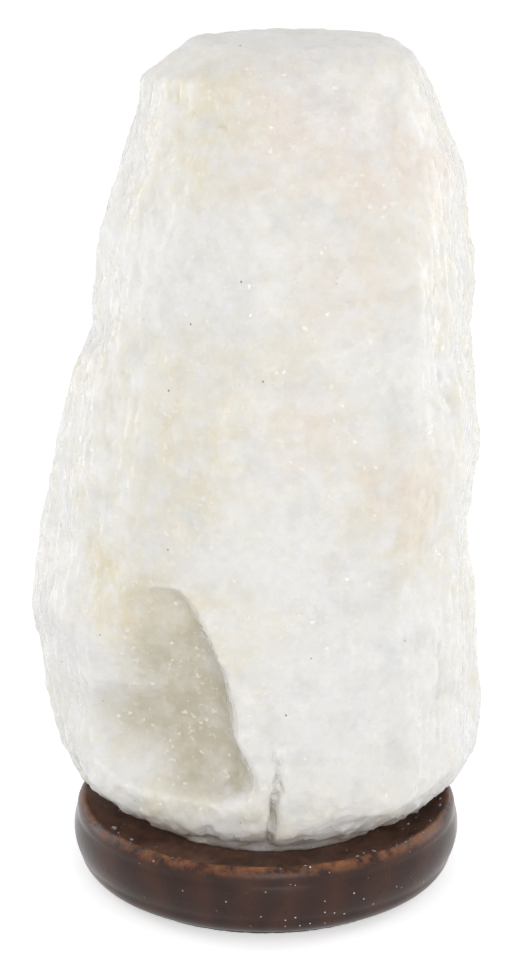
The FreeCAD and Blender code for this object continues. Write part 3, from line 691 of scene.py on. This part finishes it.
baseShape = {
    "under": 1.5,  # mm, on the felt
    "hole": 20.0,
    "edge": 0.8,
    "floor": (45.0, 18.0),  # radius and height of the dish's floor
    "segments": 224,
    "screwCircle": 27.5,
    "screwAngles": (30, 150, 270),
    "recess": (4.4, 4.0),  # radius and depth
    "screwHole": 1.85,
    "groove": (8.0, 6.5),
    "handTurned": 0.12,  # mm of unevenness
}
dishCurve = arcPoints((58.2, 24.7), (52.6, 20.1), baseShape["floor"], 14)


def baseOutline():
    low, hole, edge = baseShape["under"], baseShape["hole"], baseShape["edge"]
    floor = baseShape["floor"]
    outline = [(hole, low + edge), (hole + edge * 0.3, low + edge * 0.3), (hole + edge, low)]
    outline += [(hole + 8 + step * 4.2, low) for step in range(6)]
    outline += arcPoints((53.5, low), (58.6, 3.6), (60.9, 8.0), 12)
    outline += arcPoints((60.9, 8.0), (62.5, 14.0), (61.5, 20.4), 14)[1:]
    outline += arcPoints((61.5, 20.4), (60.9, 23.6), (59.6, 25.25), 10)[1:]
    outline += arcPoints((59.6, 25.25), (58.9, 25.27), (58.2, 24.7), 4)[1:]
    outline += dishCurve[1:]
    outline += [(floor[0] - step * 4.0, floor[1]) for step in range(1, 6)]
    outline += [(hole + edge, floor[1]), (hole + edge * 0.3, floor[1] - edge * 0.3), (hole, floor[1] - edge)]
    return outline


def screwPlaces():
    # where the three base screws stand
    circle = baseShape["screwCircle"] * mm
    turns = [math.radians(angle) for angle in baseShape["screwAngles"]]
    return [Matrix.Translation((circle * math.cos(turn), circle * math.sin(turn), 0)) for turn in turns]


def baseCutter():
    # the screws' holes and recesses, and the groove for the cord
    low = baseShape["under"]
    radius, depth = baseShape["recess"]
    work = bmesh.new()
    for place in screwPlaces():
        for reach, bottom, top in ((radius, low - 2, low + depth),
                                   (baseShape["screwHole"], low + depth - 1, 22)):
            middle = place @ Matrix.Translation((0, 0, (bottom + top) / 2 * mm))
            bmesh.ops.create_cone(work, cap_ends=True, segments=40, radius1=reach * mm, radius2=reach * mm,
                                  depth=(top - bottom) * mm, matrix=middle)
    wide, deep = baseShape["groove"]
    size = Matrix.Diagonal((wide * mm, 70 * mm, (deep + 3) * mm, 1))
    bmesh.ops.create_cube(work, size=1.0, matrix=Matrix.Translation((0, 35 * mm,
                                                                     (low + (deep - 3) / 2) * mm)) @ size)
    return meshFrom(work, "cutter")


def makeBase():
    def handTurned(radius, height, turn):
        wobble = noise.noise(Vector((math.cos(turn) * 2.2, math.sin(turn) * 2.2, height * 0.09)))
        nick = noise.fractal(Vector((math.cos(turn) * 14, math.sin(turn) * 14, height * 0.5)), 1.0, 2.0, 3)
        crest = smoothStep(23.5, 25.0, height)
        return radius - baseShape["handTurned"] * (1 + wobble), height - crest * max(0.0, nick) * 0.5
    mesh = cutAway(turnedMesh("turned_base", baseOutline(), baseShape["segments"], handTurned), baseCutter())
    smoothByAngle(mesh, 32)
    newPiece("turned_wooden_base", mesh, hardwoodStainedLacquered(woodLook), "lamp",
             "wooden_base")
    print("wooden base:", len(mesh.vertices), "points")


makeBase()


# Salt crumbs that have dropped from the stone into the dish

crumbs = {
    "count": 150,
    "size": (0.25, 1.0),  # mm, half across
    "dish": (46.0, 57.0),  # mm from the axis
}


def makeCrumbs():
    rng = random.Random(4)
    work = bmesh.new()
    for _ in range(crumbs["count"]):
        turn, share = rng.uniform(0, math.tau), rng.random()
        reach = crumbs["dish"][0] + (crumbs["dish"][1] - crumbs["dish"][0]) * share
        floor = min(dishCurve, key=lambda point: abs(point[0] - reach))[1]
        small, large = crumbs["size"]
        size = small + (large - small) * rng.random() ** 3
        centre = Vector((reach * math.cos(turn), reach * math.sin(turn), floor + size * 0.55))
        corners = []
        for _ in range(9):
            way = Vector([rng.gauss(0, 1) for _ in range(3)]).normalized()
            way.z *= 0.7
            corners.append(work.verts.new((centre + way * size) * mm))
        hull = bmesh.ops.convex_hull(work, input=corners)
        bmesh.ops.delete(work, geom=hull["geom_interior"], context="VERTS")
    newPiece("salt_crumbs", meshFrom(work, "crumbs"), rockSalt, "lamp")


makeCrumbs()


# Finishes of the smaller pieces: two colours that shade into each other over a few mm, how rough
# they are from place to place, and how deep their grain is in mm

finishes = {
    # zinc-plated steel: a pale, faintly yellow metal, duller in patches
    "zinc_plated_steel": {
        "colours": ("#a8a594", "#c9c6b4"), "patch": 2.5, "roughness": (0.26, 0.42), "metallic": 1.0,
        "grain": (0.3, 0.02)},
    # natural nylon, moulded: milky grey-white with a waxy sheen
    "nylon_moulded": {
        "colours": ("#bdbcb6", "#cbcac4"), "patch": 5.0, "roughness": (0.4, 0.52), "ior": 1.53,
        "grain": (0.8, 0.03)},
    # black phenolic moulding: near black, a soft sheen and faint flow marks
    "phenolic_moulded_black": {
        "colours": ("#151413", "#22201e"), "patch": 5.0, "roughness": (0.25, 0.4), "ior": 1.6,
        "grain": (0.9, 0.03)},
    # pressed steatite, unglazed: chalky off-white
    "steatite_pressed": {
        "colours": ("#d9d5c9", "#e6e3da"), "patch": 3.0, "roughness": (0.6, 0.75), "ior": 1.6,
        "grain": (0.4, 0.03)},
    # rolled brass, a little tarnished: warm yellow with browner patches
    "brass_rolled": {
        "colours": ("#b08d4a", "#d2b066"), "patch": 3.0, "roughness": (0.24, 0.4), "metallic": 1.0,
        "grain": (0.35, 0.015)},
    # nickel-plated brass: a pale warm grey that mirrors softly
    "brass_nickel_plated": {
        "colours": ("#b6b0a2", "#cfcabd"), "patch": 3.5, "roughness": (0.18, 0.32), "metallic": 1.0,
        "grain": (0.4, 0.012)},
    # tempered spring steel: cool grey with a straw tint
    "spring_steel_tempered": {
        "colours": ("#8f8e8a", "#aaa79d"), "patch": 4.0, "roughness": (0.26, 0.38), "metallic": 1.0,
        "grain": (0.3, 0.015)},
    # black glass, fused: deep gloss
    "glass_black_fused": {
        "colours": ("#0b0b0d", "#15151a"), "patch": 2.0, "roughness": (0.06, 0.16), "ior": 1.52,
        "grain": (0.8, 0.02)},
    # soft solder, set: grey, slightly frosted
    "solder_set": {
        "colours": ("#a3a3a1", "#bdbdba"), "patch": 1.2, "roughness": (0.3, 0.48), "metallic": 1.0,
        "grain": (0.3, 0.03)},
    # drawn nickel wire: grey with a warm cast
    "nickel_wire_drawn": {
        "colours": ("#a09a8c", "#b9b3a5"), "patch": 1.5, "roughness": (0.22, 0.36), "metallic": 1.0,
        "grain": (0.15, 0.005)},
    # coiled tungsten: dark grey
    "tungsten_coiled": {
        "colours": ("#5d5c5c", "#737170"), "patch": 0.8, "roughness": (0.35, 0.5), "metallic": 1.0,
        "grain": (0.1, 0.004)},
}


def solidFinish(name):
    look = finishes[name]
    material, tree, place = startMaterial(name)
    patch = addNode(tree, "TexNoise", {"Vector": place, "Scale": perMm(look["patch"]), "Detail": 4.0,
                                       "Roughness": 0.6})
    share = addNode(tree, "MapRange", {"Value": patch, "From Min": 0.35, "From Max": 0.65})
    pale, deep = [linear(colour) for colour in look["colours"]]
    colour = addNode(tree, "MixRGB", {"Fac": share, "Color1": pale, "Color2": deep})
    size, depth = look["grain"]
    grain = addNode(tree, "TexNoise", {"Vector": place, "Scale": perMm(size), "Detail": 3.0,
                                       "Roughness": 0.65})
    smooth, rough = look["roughness"]
    worn = addNode(tree, "Math", {0: grain, 1: patch}, operation="MULTIPLY")
    roughness = addNode(tree, "MapRange", {"Value": worn, "From Min": 0.15, "From Max": 0.38,
                                           "To Min": smooth, "To Max": rough})
    bump = addNode(tree, "Bump", {"Height": grain, "Strength": 0.5, "Distance": depth * mm})
    inputs = {"Base Color": colour, "Roughness": roughness, "Normal": bump,
              "Metallic": look.get("metallic", 0.0)}
    if "ior" in look:
        inputs["IOR"] = look["ior"]
    finishMaterial(tree, addNode(tree, "BsdfPrincipled", inputs))
    return material


clearGlass = {"tint": ("#f4f8f6", "#fbfdfc"), "patch": 9.0, "ripple": (7.0, 0.04), "haze": (0.0, 0.05)}
stemGlass = {"tint": ("#dfe8e4", "#eff5f2"), "patch": 3.0, "ripple": (1.6, 0.08), "haze": (0.02, 0.12)}


def glassDrawn(name, look):
    # drawn or blown soda glass: clear, with a faint ripple and a trace of haze
    material, tree, place = startMaterial(name)
    patch = addNode(tree, "TexNoise", {"Vector": place, "Scale": perMm(look["patch"]), "Detail": 3.0})
    tint, clear = [linear(colour) for colour in look["tint"]]
    colour = addNode(tree, "MixRGB", {"Fac": patch, "Color1": tint, "Color2": clear})
    least, most = look["haze"]
    roughness = addNode(tree, "MapRange", {"Value": patch, "From Min": 0.4, "From Max": 0.7,
                                           "To Min": least, "To Max": most})
    size, depth = look["ripple"]
    ripple = addNode(tree, "TexNoise", {"Vector": place, "Scale": perMm(size), "Detail": 1.0})
    bump = addNode(tree, "Bump", {"Height": ripple, "Strength": 0.4, "Distance": depth * mm})
    shader = addNode(tree, "BsdfPrincipled", {
        "Base Color": colour, "Roughness": roughness, "IOR": 1.52, "Transmission Weight": 1.0,
        "Normal": bump})
    finishMaterial(tree, shader)
    return material


ready = {name: solidFinish(name) for name in finishes}


# Felt ring under the base

felt = {
    "colours": ("#3b3a39", "#5a5856"),
    "inner": 39.0,  # mm
    "outer": 53.0,
    "thick": 1.5,
    "gap": 10.0,  # where the cord runs out
    "fray": 0.5,
    "fibres": 900,
    "fibreLength": 2.2,
    "fibreWidth": 0.3,  # as drawn; real fibres are ten times finer
    "steps": (14, 300),  # mesh steps across and around
}


def woolFeltPressed(look):
    # pressed wool felt: dull grey, with pale and dark fibres matted in every direction
    material, tree, place = startMaterial("wool_felt_pressed")
    matted = pushedAbout(tree, place, 1.4, 2.4)
    fibres = None
    for stretch in ((1.0, 0.12, 1.0), (0.12, 1.0, 1.0)):
        drawn = addNode(tree, "VectorMath", {0: matted, 1: stretch}, operation="MULTIPLY")
        strands = addNode(tree, "TexNoise", {"Vector": drawn, "Scale": perMm(look["fibreWidth"]),
                                             "Detail": 2.0})
        fibres = strands if fibres is None else addNode(tree, "Math", {0: fibres, 1: strands},
                                                        operation="MAXIMUM")
    share = addNode(tree, "MapRange", {"Value": fibres, "From Min": 0.45, "From Max": 0.72})
    colour = addNode(tree, "MixRGB", {"Fac": share, "Color1": linear(look["colours"][0]),
                                      "Color2": linear(look["colours"][1])})
    bump = addNode(tree, "Bump", {"Height": fibres, "Strength": 0.9, "Distance": 0.25 * mm})
    roughness = addNode(tree, "MapRange", {"Value": fibres, "To Min": 0.82, "To Max": 0.98})
    shader = addNode(tree, "BsdfPrincipled", {
        "Base Color": colour, "Roughness": roughness, "Normal": bump, "Sheen Weight": 0.3,
        "Sheen Roughness": 0.5})
    finishMaterial(tree, shader)
    return material


def makeFelt():
    rng = random.Random(9)
    work = bmesh.new()
    across, around = felt["steps"]
    layers = []
    for height in (0.0, felt["thick"]):
        rows = []
        for step in range(across + 1):
            reach = felt["inner"] + (felt["outer"] - felt["inner"]) * step / across
            opening = math.asin(felt["gap"] / 2 / reach)
            row = []
            for part in range(around + 1):
                turn = math.pi / 2 + opening + (math.tau - 2 * opening) * part / around
                fray = felt["fray"] * noise.fractal(Vector((math.cos(turn), math.sin(turn), 0)) * 40, 1.0,
                                                    2.0, 3)
                edge = {0: abs(fray), across: -abs(fray)}.get(step, 0.0)
                out = (reach + edge) * mm
                row.append(work.verts.new((out * math.cos(turn), out * math.sin(turn), height * mm)))
            rows.append(row)
        layers.append(rows)
    under, over = layers
    for step in range(across):
        for part in range(around):
            for rows in layers:
                work.faces.new((rows[step][part], rows[step + 1][part], rows[step + 1][part + 1],
                                rows[step][part + 1]))
        for part in (0, around):
            work.faces.new((under[step][part], under[step + 1][part], over[step + 1][part], over[step][part]))
    for step in (0, across):
        for part in range(around):
            work.faces.new((under[step][part], under[step][part + 1], over[step][part + 1], over[step][part]))
    bmesh.ops.recalc_face_normals(work, faces=work.faces)

    # loose fibres along both rims
    for _ in range(felt["fibres"]):
        turn = rng.uniform(0.14, math.tau - 0.14) + math.pi / 2
        outside = rng.random() < 0.7
        reach = felt["outer"] - 0.4 if outside else felt["inner"] + 0.4
        start = Vector((reach * math.cos(turn), reach * math.sin(turn), rng.uniform(0.2, 1.3)))
        away = Vector((math.cos(turn), math.sin(turn), 0)) * (1 if outside else -1)
        way = (away * rng.uniform(0.1, 0.7) + away.cross(Vector((0, 0, 1))) * rng.uniform(-1, 1)).normalized()
        path = [start, start + way * felt["fibreLength"] * rng.uniform(0.3, 0.6)]
        path.append(path[1] + (way + away * rng.uniform(-0.5, 0.4)).normalized() * felt["fibreLength"] * 0.4)
        thin = Vector((0, 0, 0.03))
        for a, b in zip(path, path[1:]):
            work.faces.new([work.verts.new(corner * mm) for corner in (a - thin, b - thin, b + thin,
                                                                       a + thin)])
    newPiece("felt_ring", meshFrom(work, "felt_ring"), woolFeltPressed(felt), "lamp", "felt_pad")


makeFelt()


# Threads and grips

def threadCut(pitch, depth, low, high):
    # how far a rounded right-hand thread is cut in at a height and a turn, fading out at both ends
    def cut(height, turn):
        wave = 0.5 - 0.5 * math.cos(math.tau * height / pitch - turn)
        ends = smoothStep(low, low + pitch * 0.7, height) * (1 - smoothStep(high - pitch * 0.7, high, height))
        return depth * wave * ends
    return cut


def fluteCut(count, radius, low, high):
    # how far an upright grip flute is cut in
    def cut(height, turn):
        away = abs((turn * count / math.tau + 0.5) % 1.0 - 0.5) * math.tau / count * radius
        deep = max(0.0, math.sqrt(max(0.0, 0.81 - away * away)) - 0.3)
        return deep * smoothStep(low, low + 0.4, height) * (1 - smoothStep(high - 0.4, high, height))
    return cut


screwShape = {
    "seat": 5.5,  # mm above the table
    "head": (3.6, 2.4),  # radius and height
    "length": 33.0,
    "radius": 1.75,
    "thread": (1.6, 0.5),  # pitch and depth
    "cross": (2.2, 0.9, 1.3),  # reach, width and depth
}


def makeScrews():
    seat, length = screwShape["seat"], screwShape["length"]
    headRadius, headHeight = screwShape["head"]
    radius, tip = screwShape["radius"], seat + length
    pitch, depth = screwShape["thread"]
    low = seat - headHeight
    outline = arcPoints((0, low), (headRadius * 0.72, low + 0.62), (headRadius - 0.1, seat - 0.7), 10)
    outline += [(headRadius, seat - 0.5), (headRadius, seat - 0.1), (headRadius - 0.1, seat), (radius, seat)]
    outline += linePoints((radius, seat), (radius, tip - 3.0), 0.16)
    outline += linePoints((radius, tip - 3.0), (0.12, tip - 0.05), 0.2)
    outline.append((0, tip))
    cut = threadCut(pitch, depth, seat + 4.0, tip + 1.0)
    mesh = turnedMesh("base_screw", outline, 40, lambda r, z, turn: (
        (max(r * 0.5, r - cut(z, turn)), z) if z > seat and r <= radius else (r, z)))
    reach, wide, deep = screwShape["cross"]
    work = bmesh.new()
    for size in ((2 * reach, wide), (wide, 2 * reach)):
        bar = bmesh.ops.create_cube(work, size=1.0)["verts"]
        for corner in bar:
            taper = 0.7 if corner.co.z > 0 else 1.0
            height = low - 1 + (corner.co.z + 0.5) * (deep + 1)
            corner.co = Vector((corner.co.x * size[0] * taper, corner.co.y * size[1] * taper, height)) * mm
    mesh = cutAway(mesh, meshFrom(work, "cross"))
    smoothByAngle(mesh, 35)
    newPiece("base_wood_screws", repeated(mesh, screwPlaces()), ready["zinc_plated_steel"],
             "lamp", "base_screws")


makeScrews()
dress("screw_plugs", ready["nylon_moulded"])
print("felt, crumbs and screws ready")


# Lampholder

holderShape = {
    "bottom": 12.0,  # mm
    "radius": 14.0,
    "capTop": 24.0,
    "collar": (12.3, 10.6, 30.0),  # outer and inner radius, top
    "cordHole": 3.6,
    "boss": (6.0, 16.0),
    "flutes": 18,
    "shellTop": 56.0,
    "step": (44.0, 12.9),  # height and radius where the clip seats
    "wall": 1.6,
    "mouth": 8.2,
    "insertTop": 40.0,
    "ringThread": (2.0, 0.45),  # pitch and depth
    "ring": (44.6, 50.6, 13.0, 16.2),
    "segments": 288,
}


def makeHolder():
    shape = holderShape
    segments, outer = shape["segments"], shape["radius"]
    low, capTop = shape["bottom"], shape["capTop"]
    collar, inner, collarTop = shape["collar"]
    boss, bossTop = shape["boss"]
    cordHole = shape["cordHole"]
    outline = [(cordHole + 0.3, low), (outer - 2.0, low)]
    # its lower corner is rounded to 2 mm
    outline += arcPoints((outer - 2.0, low), (outer - 0.586, low + 0.586), (outer, low + 2.0), 8)[1:]
    outline += linePoints((outer, low + 2.0), (outer, capTop - 0.3), 0.35)
    outline += [(outer - 0.3, capTop), (collar, capTop), (collar, collarTop - 0.3), (collar - 0.3, collarTop)]
    outline += [(inner + 0.3, collarTop), (inner, collarTop - 0.3), (inner, low + 3.0),
                (inner - 0.5, low + 2.5)]
    outline += [(boss, low + 2.5), (boss, bossTop - 0.2), (boss - 0.2, bossTop), (cordHole + 0.2, bossTop)]
    outline += [(cordHole, bossTop - 0.2), (cordHole, low + 0.3)]
    cut = fluteCut(shape["flutes"], outer, low + 3.0, capTop - 3.0)
    mesh = turnedMesh("lower_cap", outline, segments, lambda r, z, turn: (
        r - cut(z, turn) if r > outer - 0.01 else r, z))
    smoothByAngle(mesh, 40)
    newPiece("lower_cap", mesh, ready["phenolic_moulded_black"], "lampholder", "holder_cap")

    seat, waist = shape["step"]
    top, mouth, insertTop = shape["shellTop"], shape["mouth"], shape["insertTop"]
    bore = outer - shape["wall"]
    outline = [(bore, capTop + 0.2), (bore + 0.2, capTop), (outer - 0.3, capTop), (outer, capTop + 0.3)]
    outline += [(outer, seat - 0.2), (outer - 0.2, seat), (waist, seat)]
    outline += linePoints((waist, seat), (waist, top - 0.8), 0.2)
    outline += [(waist - 0.8, top), (mouth + 0.4, top), (mouth, top - 0.4), (mouth, insertTop),
                (bore, insertTop)]
    pitch, depth = shape["ringThread"]
    turnsOf = threadCut(pitch, depth, seat + 0.4, top - 0.6)
    mesh = turnedMesh("upper_shell", outline, segments, lambda r, z, turn: (
        r - turnsOf(z, turn) if abs(r - waist) < 0.01 else r, z))
    smoothByAngle(mesh, 40)
    newPiece("upper_shell", mesh, ready["phenolic_moulded_black"], "lampholder",
             "holder_shell")

    low, high, hole, outer = shape["ring"]
    outline = [(hole, low + 0.2), (hole + 0.2, low), (outer - 0.2, low), (outer, low + 0.2)]
    outline += linePoints((outer, low + 0.2), (outer, high - 1.0), 0.35)
    outline += linePoints((outer, high - 1.0), (outer - 1.0, high), 0.3)
    outline += [(hole + 0.2, high), (hole, high - 0.2)]
    cut = fluteCut(shape["flutes"], outer, low - 0.6, high + 0.6)
    mesh = turnedMesh("ring_nut", outline, segments, lambda r, z, turn: (
        r - cut(z, turn) if r > outer - 0.95 else r, z))
    smoothByAngle(mesh, 40)
    newPiece("ring_nut", mesh, ready["phenolic_moulded_black"], "lampholder", "clip_ring")
    dress("contact_insert", ready["steatite_pressed"])
    dress("spring_clip", ready["spring_steel_tempered"])
    for node in ("screw_contact", "centre_contact", "terminal_screws"):
        dress(node, ready["brass_rolled"])


makeHolder()
print("lampholder ready")


# Bulb

bulbShape = {
    "segments": 128,
    "tip": (2.6, 37.71, 39.15),  # radius, lowest point, top
    "insulator": (3.3, 6.0, 41.35),
    "cap": (6.8, 41.35, 59.85, 0.35),  # radius, low, top, wall
    "thread": (2.82, 0.72),  # pitch and depth
    "punch": (4, 57.9, 0.22, 0.35),  # punch marks that hold the glass: how many, height, depth, spread
    "globe": (13.0, 82.75),  # radius and centre
    "shoulder": -35.4,  # degrees
    "neck": (6.9, 62.05),
    "waist": (1.15, 0.3),
    "wall": 0.7,
    "spigot": (6.35, 53.55),
    "stem": (54.05, 69.72),
}


def globeOutline(inset):
    # from the neck up to the top, drawn in by the inset
    radius, centre = bulbShape["globe"]
    radius -= inset
    turn = math.radians(bulbShape["shoulder"])
    shoulder = (radius * math.cos(turn), centre + radius * math.sin(turn))
    neck = (bulbShape["neck"][0] - inset, bulbShape["neck"][1])
    drawnIn, lifted = bulbShape["waist"]
    waist = ((shoulder[0] + neck[0]) / 2 - drawnIn, (shoulder[1] + neck[1]) / 2 + lifted)
    points = arcPoints(neck, waist, shoulder, 18)
    points += arcPoints(shoulder, (radius * math.cos(0.35), centre + radius * math.sin(0.35)),
                        (0, centre + radius), 40)[1:]
    points[-1] = (0, centre + radius)
    return points


def makeBulbGlass():
    wall, capTop = bulbShape["wall"], bulbShape["cap"][2]
    spigot, spigotLow = bulbShape["spigot"]
    outline = [(spigot - wall, spigotLow + 0.3), (spigot - 0.35, spigotLow), (spigot, spigotLow + 0.3),
               (spigot, capTop)]
    outline += [(bulbShape["neck"][0], capTop)] + globeOutline(0)
    outline += globeOutline(wall)[::-1]
    outline += [(bulbShape["neck"][0] - wall, capTop + wall), (spigot - wall, capTop + wall)]
    mesh = turnedMesh("blown_envelope", outline, bulbShape["segments"])
    smoothByAngle(mesh, 40)
    newPiece("blown_envelope", mesh, glassDrawn("soda_glass_blown", clearGlass), "bulb",
             "bulb_glass")

    foot, top = bulbShape["stem"]
    flare = spigot - wall
    outline = [(0, foot), (flare - 0.3, foot), (flare, foot + 0.3), (flare, foot + 0.8)]
    outline += arcPoints((flare, foot + 0.8), (3.3, foot + 2.3), (2.1, foot + 6), 14)[1:]
    outline += linePoints((2.1, foot + 6), (1.9, top - 0.6), 0.5) + [(1.7, top - 0.2), (1.3, top), (0, top)]

    def pinched(radius, height, turn):
        # flattened front and back where it was pressed hot round the wires
        flat = smoothStep(foot + 5.5, foot + 9, height) * 0.28 * math.sin(turn) ** 2
        return radius * (1 - flat), height
    mesh = turnedMesh("pressed_stem", outline, 64, pinched)
    smoothByAngle(mesh, 50)
    newPiece("pressed_stem", mesh, glassDrawn("soda_glass_drawn", stemGlass), "bulb",
             "bulb_stem")


def makeBulbCap():
    radius, low, top, wall = bulbShape["cap"]
    pitch, depth = bulbShape["thread"]
    cut = threadCut(pitch, depth, low + 1.2, low + 12.0)
    count, markHeight, markDepth, markSpread = bulbShape["punch"]

    def rolled(r, z, turn):
        if r < radius - wall - 0.01:
            return r, z
        away = ((turn * count / math.tau + 0.5) % 1.0 - 0.5) * math.tau / count * radius
        mark = 0.0
        if r > radius - 0.01:
            mark = markDepth * math.exp(-(away * away + (z - markHeight) ** 2) / markSpread)
        return r - cut(z, turn) - mark, z
    outline = [(radius - 1.6, low), (radius - 0.6, low), (radius - 0.2, low + 0.5)]
    outline += linePoints((radius, low + 1.2), (radius, top), 0.2)
    inner = radius - wall
    outline += linePoints((inner, top), (inner, low + 1.2), 0.25)
    outline += [(inner - 0.5, low + wall), (radius - 1.6, low + wall)]
    mesh = turnedMesh("screw_cap", outline, bulbShape["segments"], rolled)
    smoothByAngle(mesh, 45)
    newPiece("screw_cap", mesh, ready["brass_nickel_plated"], "bulb", "bulb_cap")

    inner, outer, top = bulbShape["insulator"]
    tip, tipLow, tipTop = bulbShape["tip"]
    outline = [(0, tipTop), (inner, tipTop)]
    outline += arcPoints((inner, tipTop), (4.75, tipTop + 0.95), (outer, top), 10)[1:] + [(0, top)]
    mesh = turnedMesh("fused_insulator", outline, 96)
    smoothByAngle(mesh, 40)
    newPiece("fused_insulator", mesh, ready["glass_black_fused"], "bulb", "bulb_insulator")

    def setUneven(r, z, turn):
        lump = noise.noise(Vector((r * math.cos(turn), r * math.sin(turn), z)) * 0.9)
        return r * (0.97 + 0.03 * lump), z + 0.12 * abs(lump) * (tipTop - z)
    outline = arcPoints((0, tipLow), (tip * 0.7, tipLow + 0.4), (tip, tipTop), 14) + [(0, tipTop)]
    mesh = turnedMesh("solder_contact", outline, 64, setUneven)
    smoothByAngle(mesh, 60)
    newPiece("solder_contact", mesh, ready["solder_set"], "bulb", "bulb_tip")


wires = {
    # each bend in mm: across, back and above the stem
    "lead": ((1.0, 0.0, -11.6), (1.0, 0.0, 1.0), (2.4, 0.0, 5.0), (6.4, 0.0, 14.0)),
    "leadRadius": 0.3,
    "hook": ((0.4, 0.8, -2.0), (0.9, 1.4, 3.0), (3.4, 4.4, 15.2)),
    "hookRadius": 0.16,
    "eye": 0.42,  # radius of the eye that holds the filament
    "coil": (0.28, 0.22, 0.05),  # radius, pitch and wire radius
}


def aboveStem(place, side):
    return Vector((side * place[0], place[1], bulbShape["stem"][1] + place[2]))


def coilPoints(path, radius, pitch):
    # a helix round a bent path
    points, turned = [], 0.0
    steps = 12
    for a, b in zip(path, path[1:]):
        along = (b - a).normalized()
        side = along.cross(Vector((0, 0, 1))).normalized()
        up = side.cross(along)
        count = round((b - a).length / pitch * steps)
        for step in range(count):
            turn = math.tau * (turned + step) / steps
            centre = a.lerp(b, step / count)
            points.append(centre + side * radius * math.cos(turn) + up * radius * math.sin(turn))
        turned += count
    return points


def makeBulbWires():
    leads, hooks = [], []
    for side in (-1, 1):
        leads.append(softened([aboveStem(place, side) for place in wires["lead"]], 3))
        end = aboveStem(wires["hook"][-1], side)
        eye = [end + Vector((0, wires["eye"] * math.sin(turn), -wires["eye"] * math.cos(turn)))
               for turn in [math.tau * step / 12 for step in range(11)]]
        hooks.append(softened([aboveStem(place, side) for place in wires["hook"][:-1]] + eye, 2))
    for name, paths, radius, node in (
            ("lead_wires", leads, wires["leadRadius"], "bulb_leads"),
            ("support_hooks", hooks, wires["hookRadius"], "filament_supports")):
        work = bmesh.new()
        for path in paths:
            work.from_mesh(wireMesh(name, path, radius, 2))
        mesh = meshFrom(work, name)
        smoothByAngle(mesh, 50)
        newPiece(name, mesh, ready["nickel_wire_drawn"], "bulb", node)
    radius, pitch, thickness = wires["coil"]
    lead, hook = wires["lead"][-1], wires["hook"][-1]
    path = [aboveStem(lead, -1), aboveStem(hook, -1), aboveStem(hook, 1), aboveStem(lead, 1)]
    mesh = wireMesh("coiled_filament", coilPoints(path, radius, pitch), thickness, 0)
    smoothByAngle(mesh, 80)
    newPiece("coiled_filament", mesh, ready["tungsten_coiled"], "bulb", "bulb_filament")


makeBulbGlass()
makeBulbCap()
makeBulbWires()
print("bulb ready")


# Floor, light and camera

studio = {
    "floorReach": 12.0,  # m, half across
    "worldForObject": 0.62,  # strength of the world where it lights the lamp
    "floor": "#f4f4f4",
    "floorLift": 0.5,  # lets the camera see the floor as white as the backdrop
    "middle": (0.0, 0.0, 0.13),  # metres, where the lights point
    "lights": [  # place, size and watts
        ((0.2, -1.5, 0.62), (0.75, 0.75), 7.5),
        ((-0.85, 0.3, 0.3), (0.3, 0.9), 2.6),
        ((0.85, 0.3, 0.3), (0.3, 0.9), 2.6),
    ],
}


def seenDirectly(tree):
    # 1 for what the camera sees, itself, mirrored or through glass
    ray = addNode(tree, "LightPath")
    seen = addNode(tree, "Math", {0: ray.outputs["Is Camera Ray"], 1: ray.outputs["Is Glossy Ray"]},
                   operation="MAXIMUM")
    return addNode(tree, "Math", {0: seen, 1: ray.outputs["Is Transmission Ray"]}, operation="MAXIMUM")


def makeStudio():
    world = bpy.data.worlds.new("pale_studio")
    bpy.context.scene.world = world
    world.use_nodes = True
    tree = world.node_tree
    tree.nodes.clear()
    strength = addNode(tree, "MapRange", {"Value": seenDirectly(tree), "To Min": studio["worldForObject"],
                                          "To Max": 1.0})
    glow = addNode(tree, "Background", {"Color": (1, 1, 1, 1), "Strength": strength})
    addNode(tree, "OutputWorld", {"Surface": glow})

    # pale floor that keeps the lamp's shadow
    material, tree, _ = startMaterial("pale_floor")
    lift = addNode(tree, "Math", {0: seenDirectly(tree), 1: studio["floorLift"]}, operation="MULTIPLY")
    diffuse = addNode(tree, "BsdfDiffuse", {"Color": linear(studio["floor"])})
    glow = addNode(tree, "Emission", {"Color": (1, 1, 1, 1), "Strength": lift})
    finishMaterial(tree, addNode(tree, "AddShader", {0: diffuse, 1: glow}))
    mesh = bpy.data.meshes.new("floor")
    reach = studio["floorReach"]
    mesh.from_pydata([(-reach, -reach, 0), (reach, -reach, 0), (reach, reach, 0), (-reach, reach, 0)], [],
                     [(0, 1, 2, 3)])
    mesh.materials.append(material)
    floor = bpy.data.objects.new("floor", mesh)
    bpy.context.scene.collection.objects.link(floor)
    # the lamp is lifted off the table to pull its lampholder, so the table stays below the lampholder
    floor.parent = frame["bodies"]["lampholder"]

    for number, (place, size, power) in enumerate(studio["lights"]):
        lamp = bpy.data.lights.new("light_" + str(number), "AREA")
        lamp.shape = "RECTANGLE"
        lamp.size, lamp.size_y = size
        lamp.energy = power
        holder = bpy.data.objects.new(lamp.name, lamp)
        holder.location = place
        holder.rotation_euler = (Vector(studio["middle"]) - Vector(place)).to_track_quat("-Z", "Y").to_euler()
        bpy.context.scene.collection.objects.link(holder)


view = {
    "place": (0.0, -0.750, 0.3547),  # metres
    "down": 16.665,  # degrees below level
    "lens": 93.53,
}


def makeCamera():
    data = bpy.data.cameras.new("camera")
    data.sensor_width = 36.0
    data.lens = view["lens"]
    camera = bpy.data.objects.new("camera", data)
    camera.location = view["place"]
    camera.rotation_euler = (math.radians(90 - view["down"]), 0, 0)
    bpy.context.scene.collection.objects.link(camera)
    bpy.context.scene.camera = camera
    bpy.context.scene.view_settings.view_transform = "Standard"


makeStudio()
makeCamera()
print("studio and camera ready")
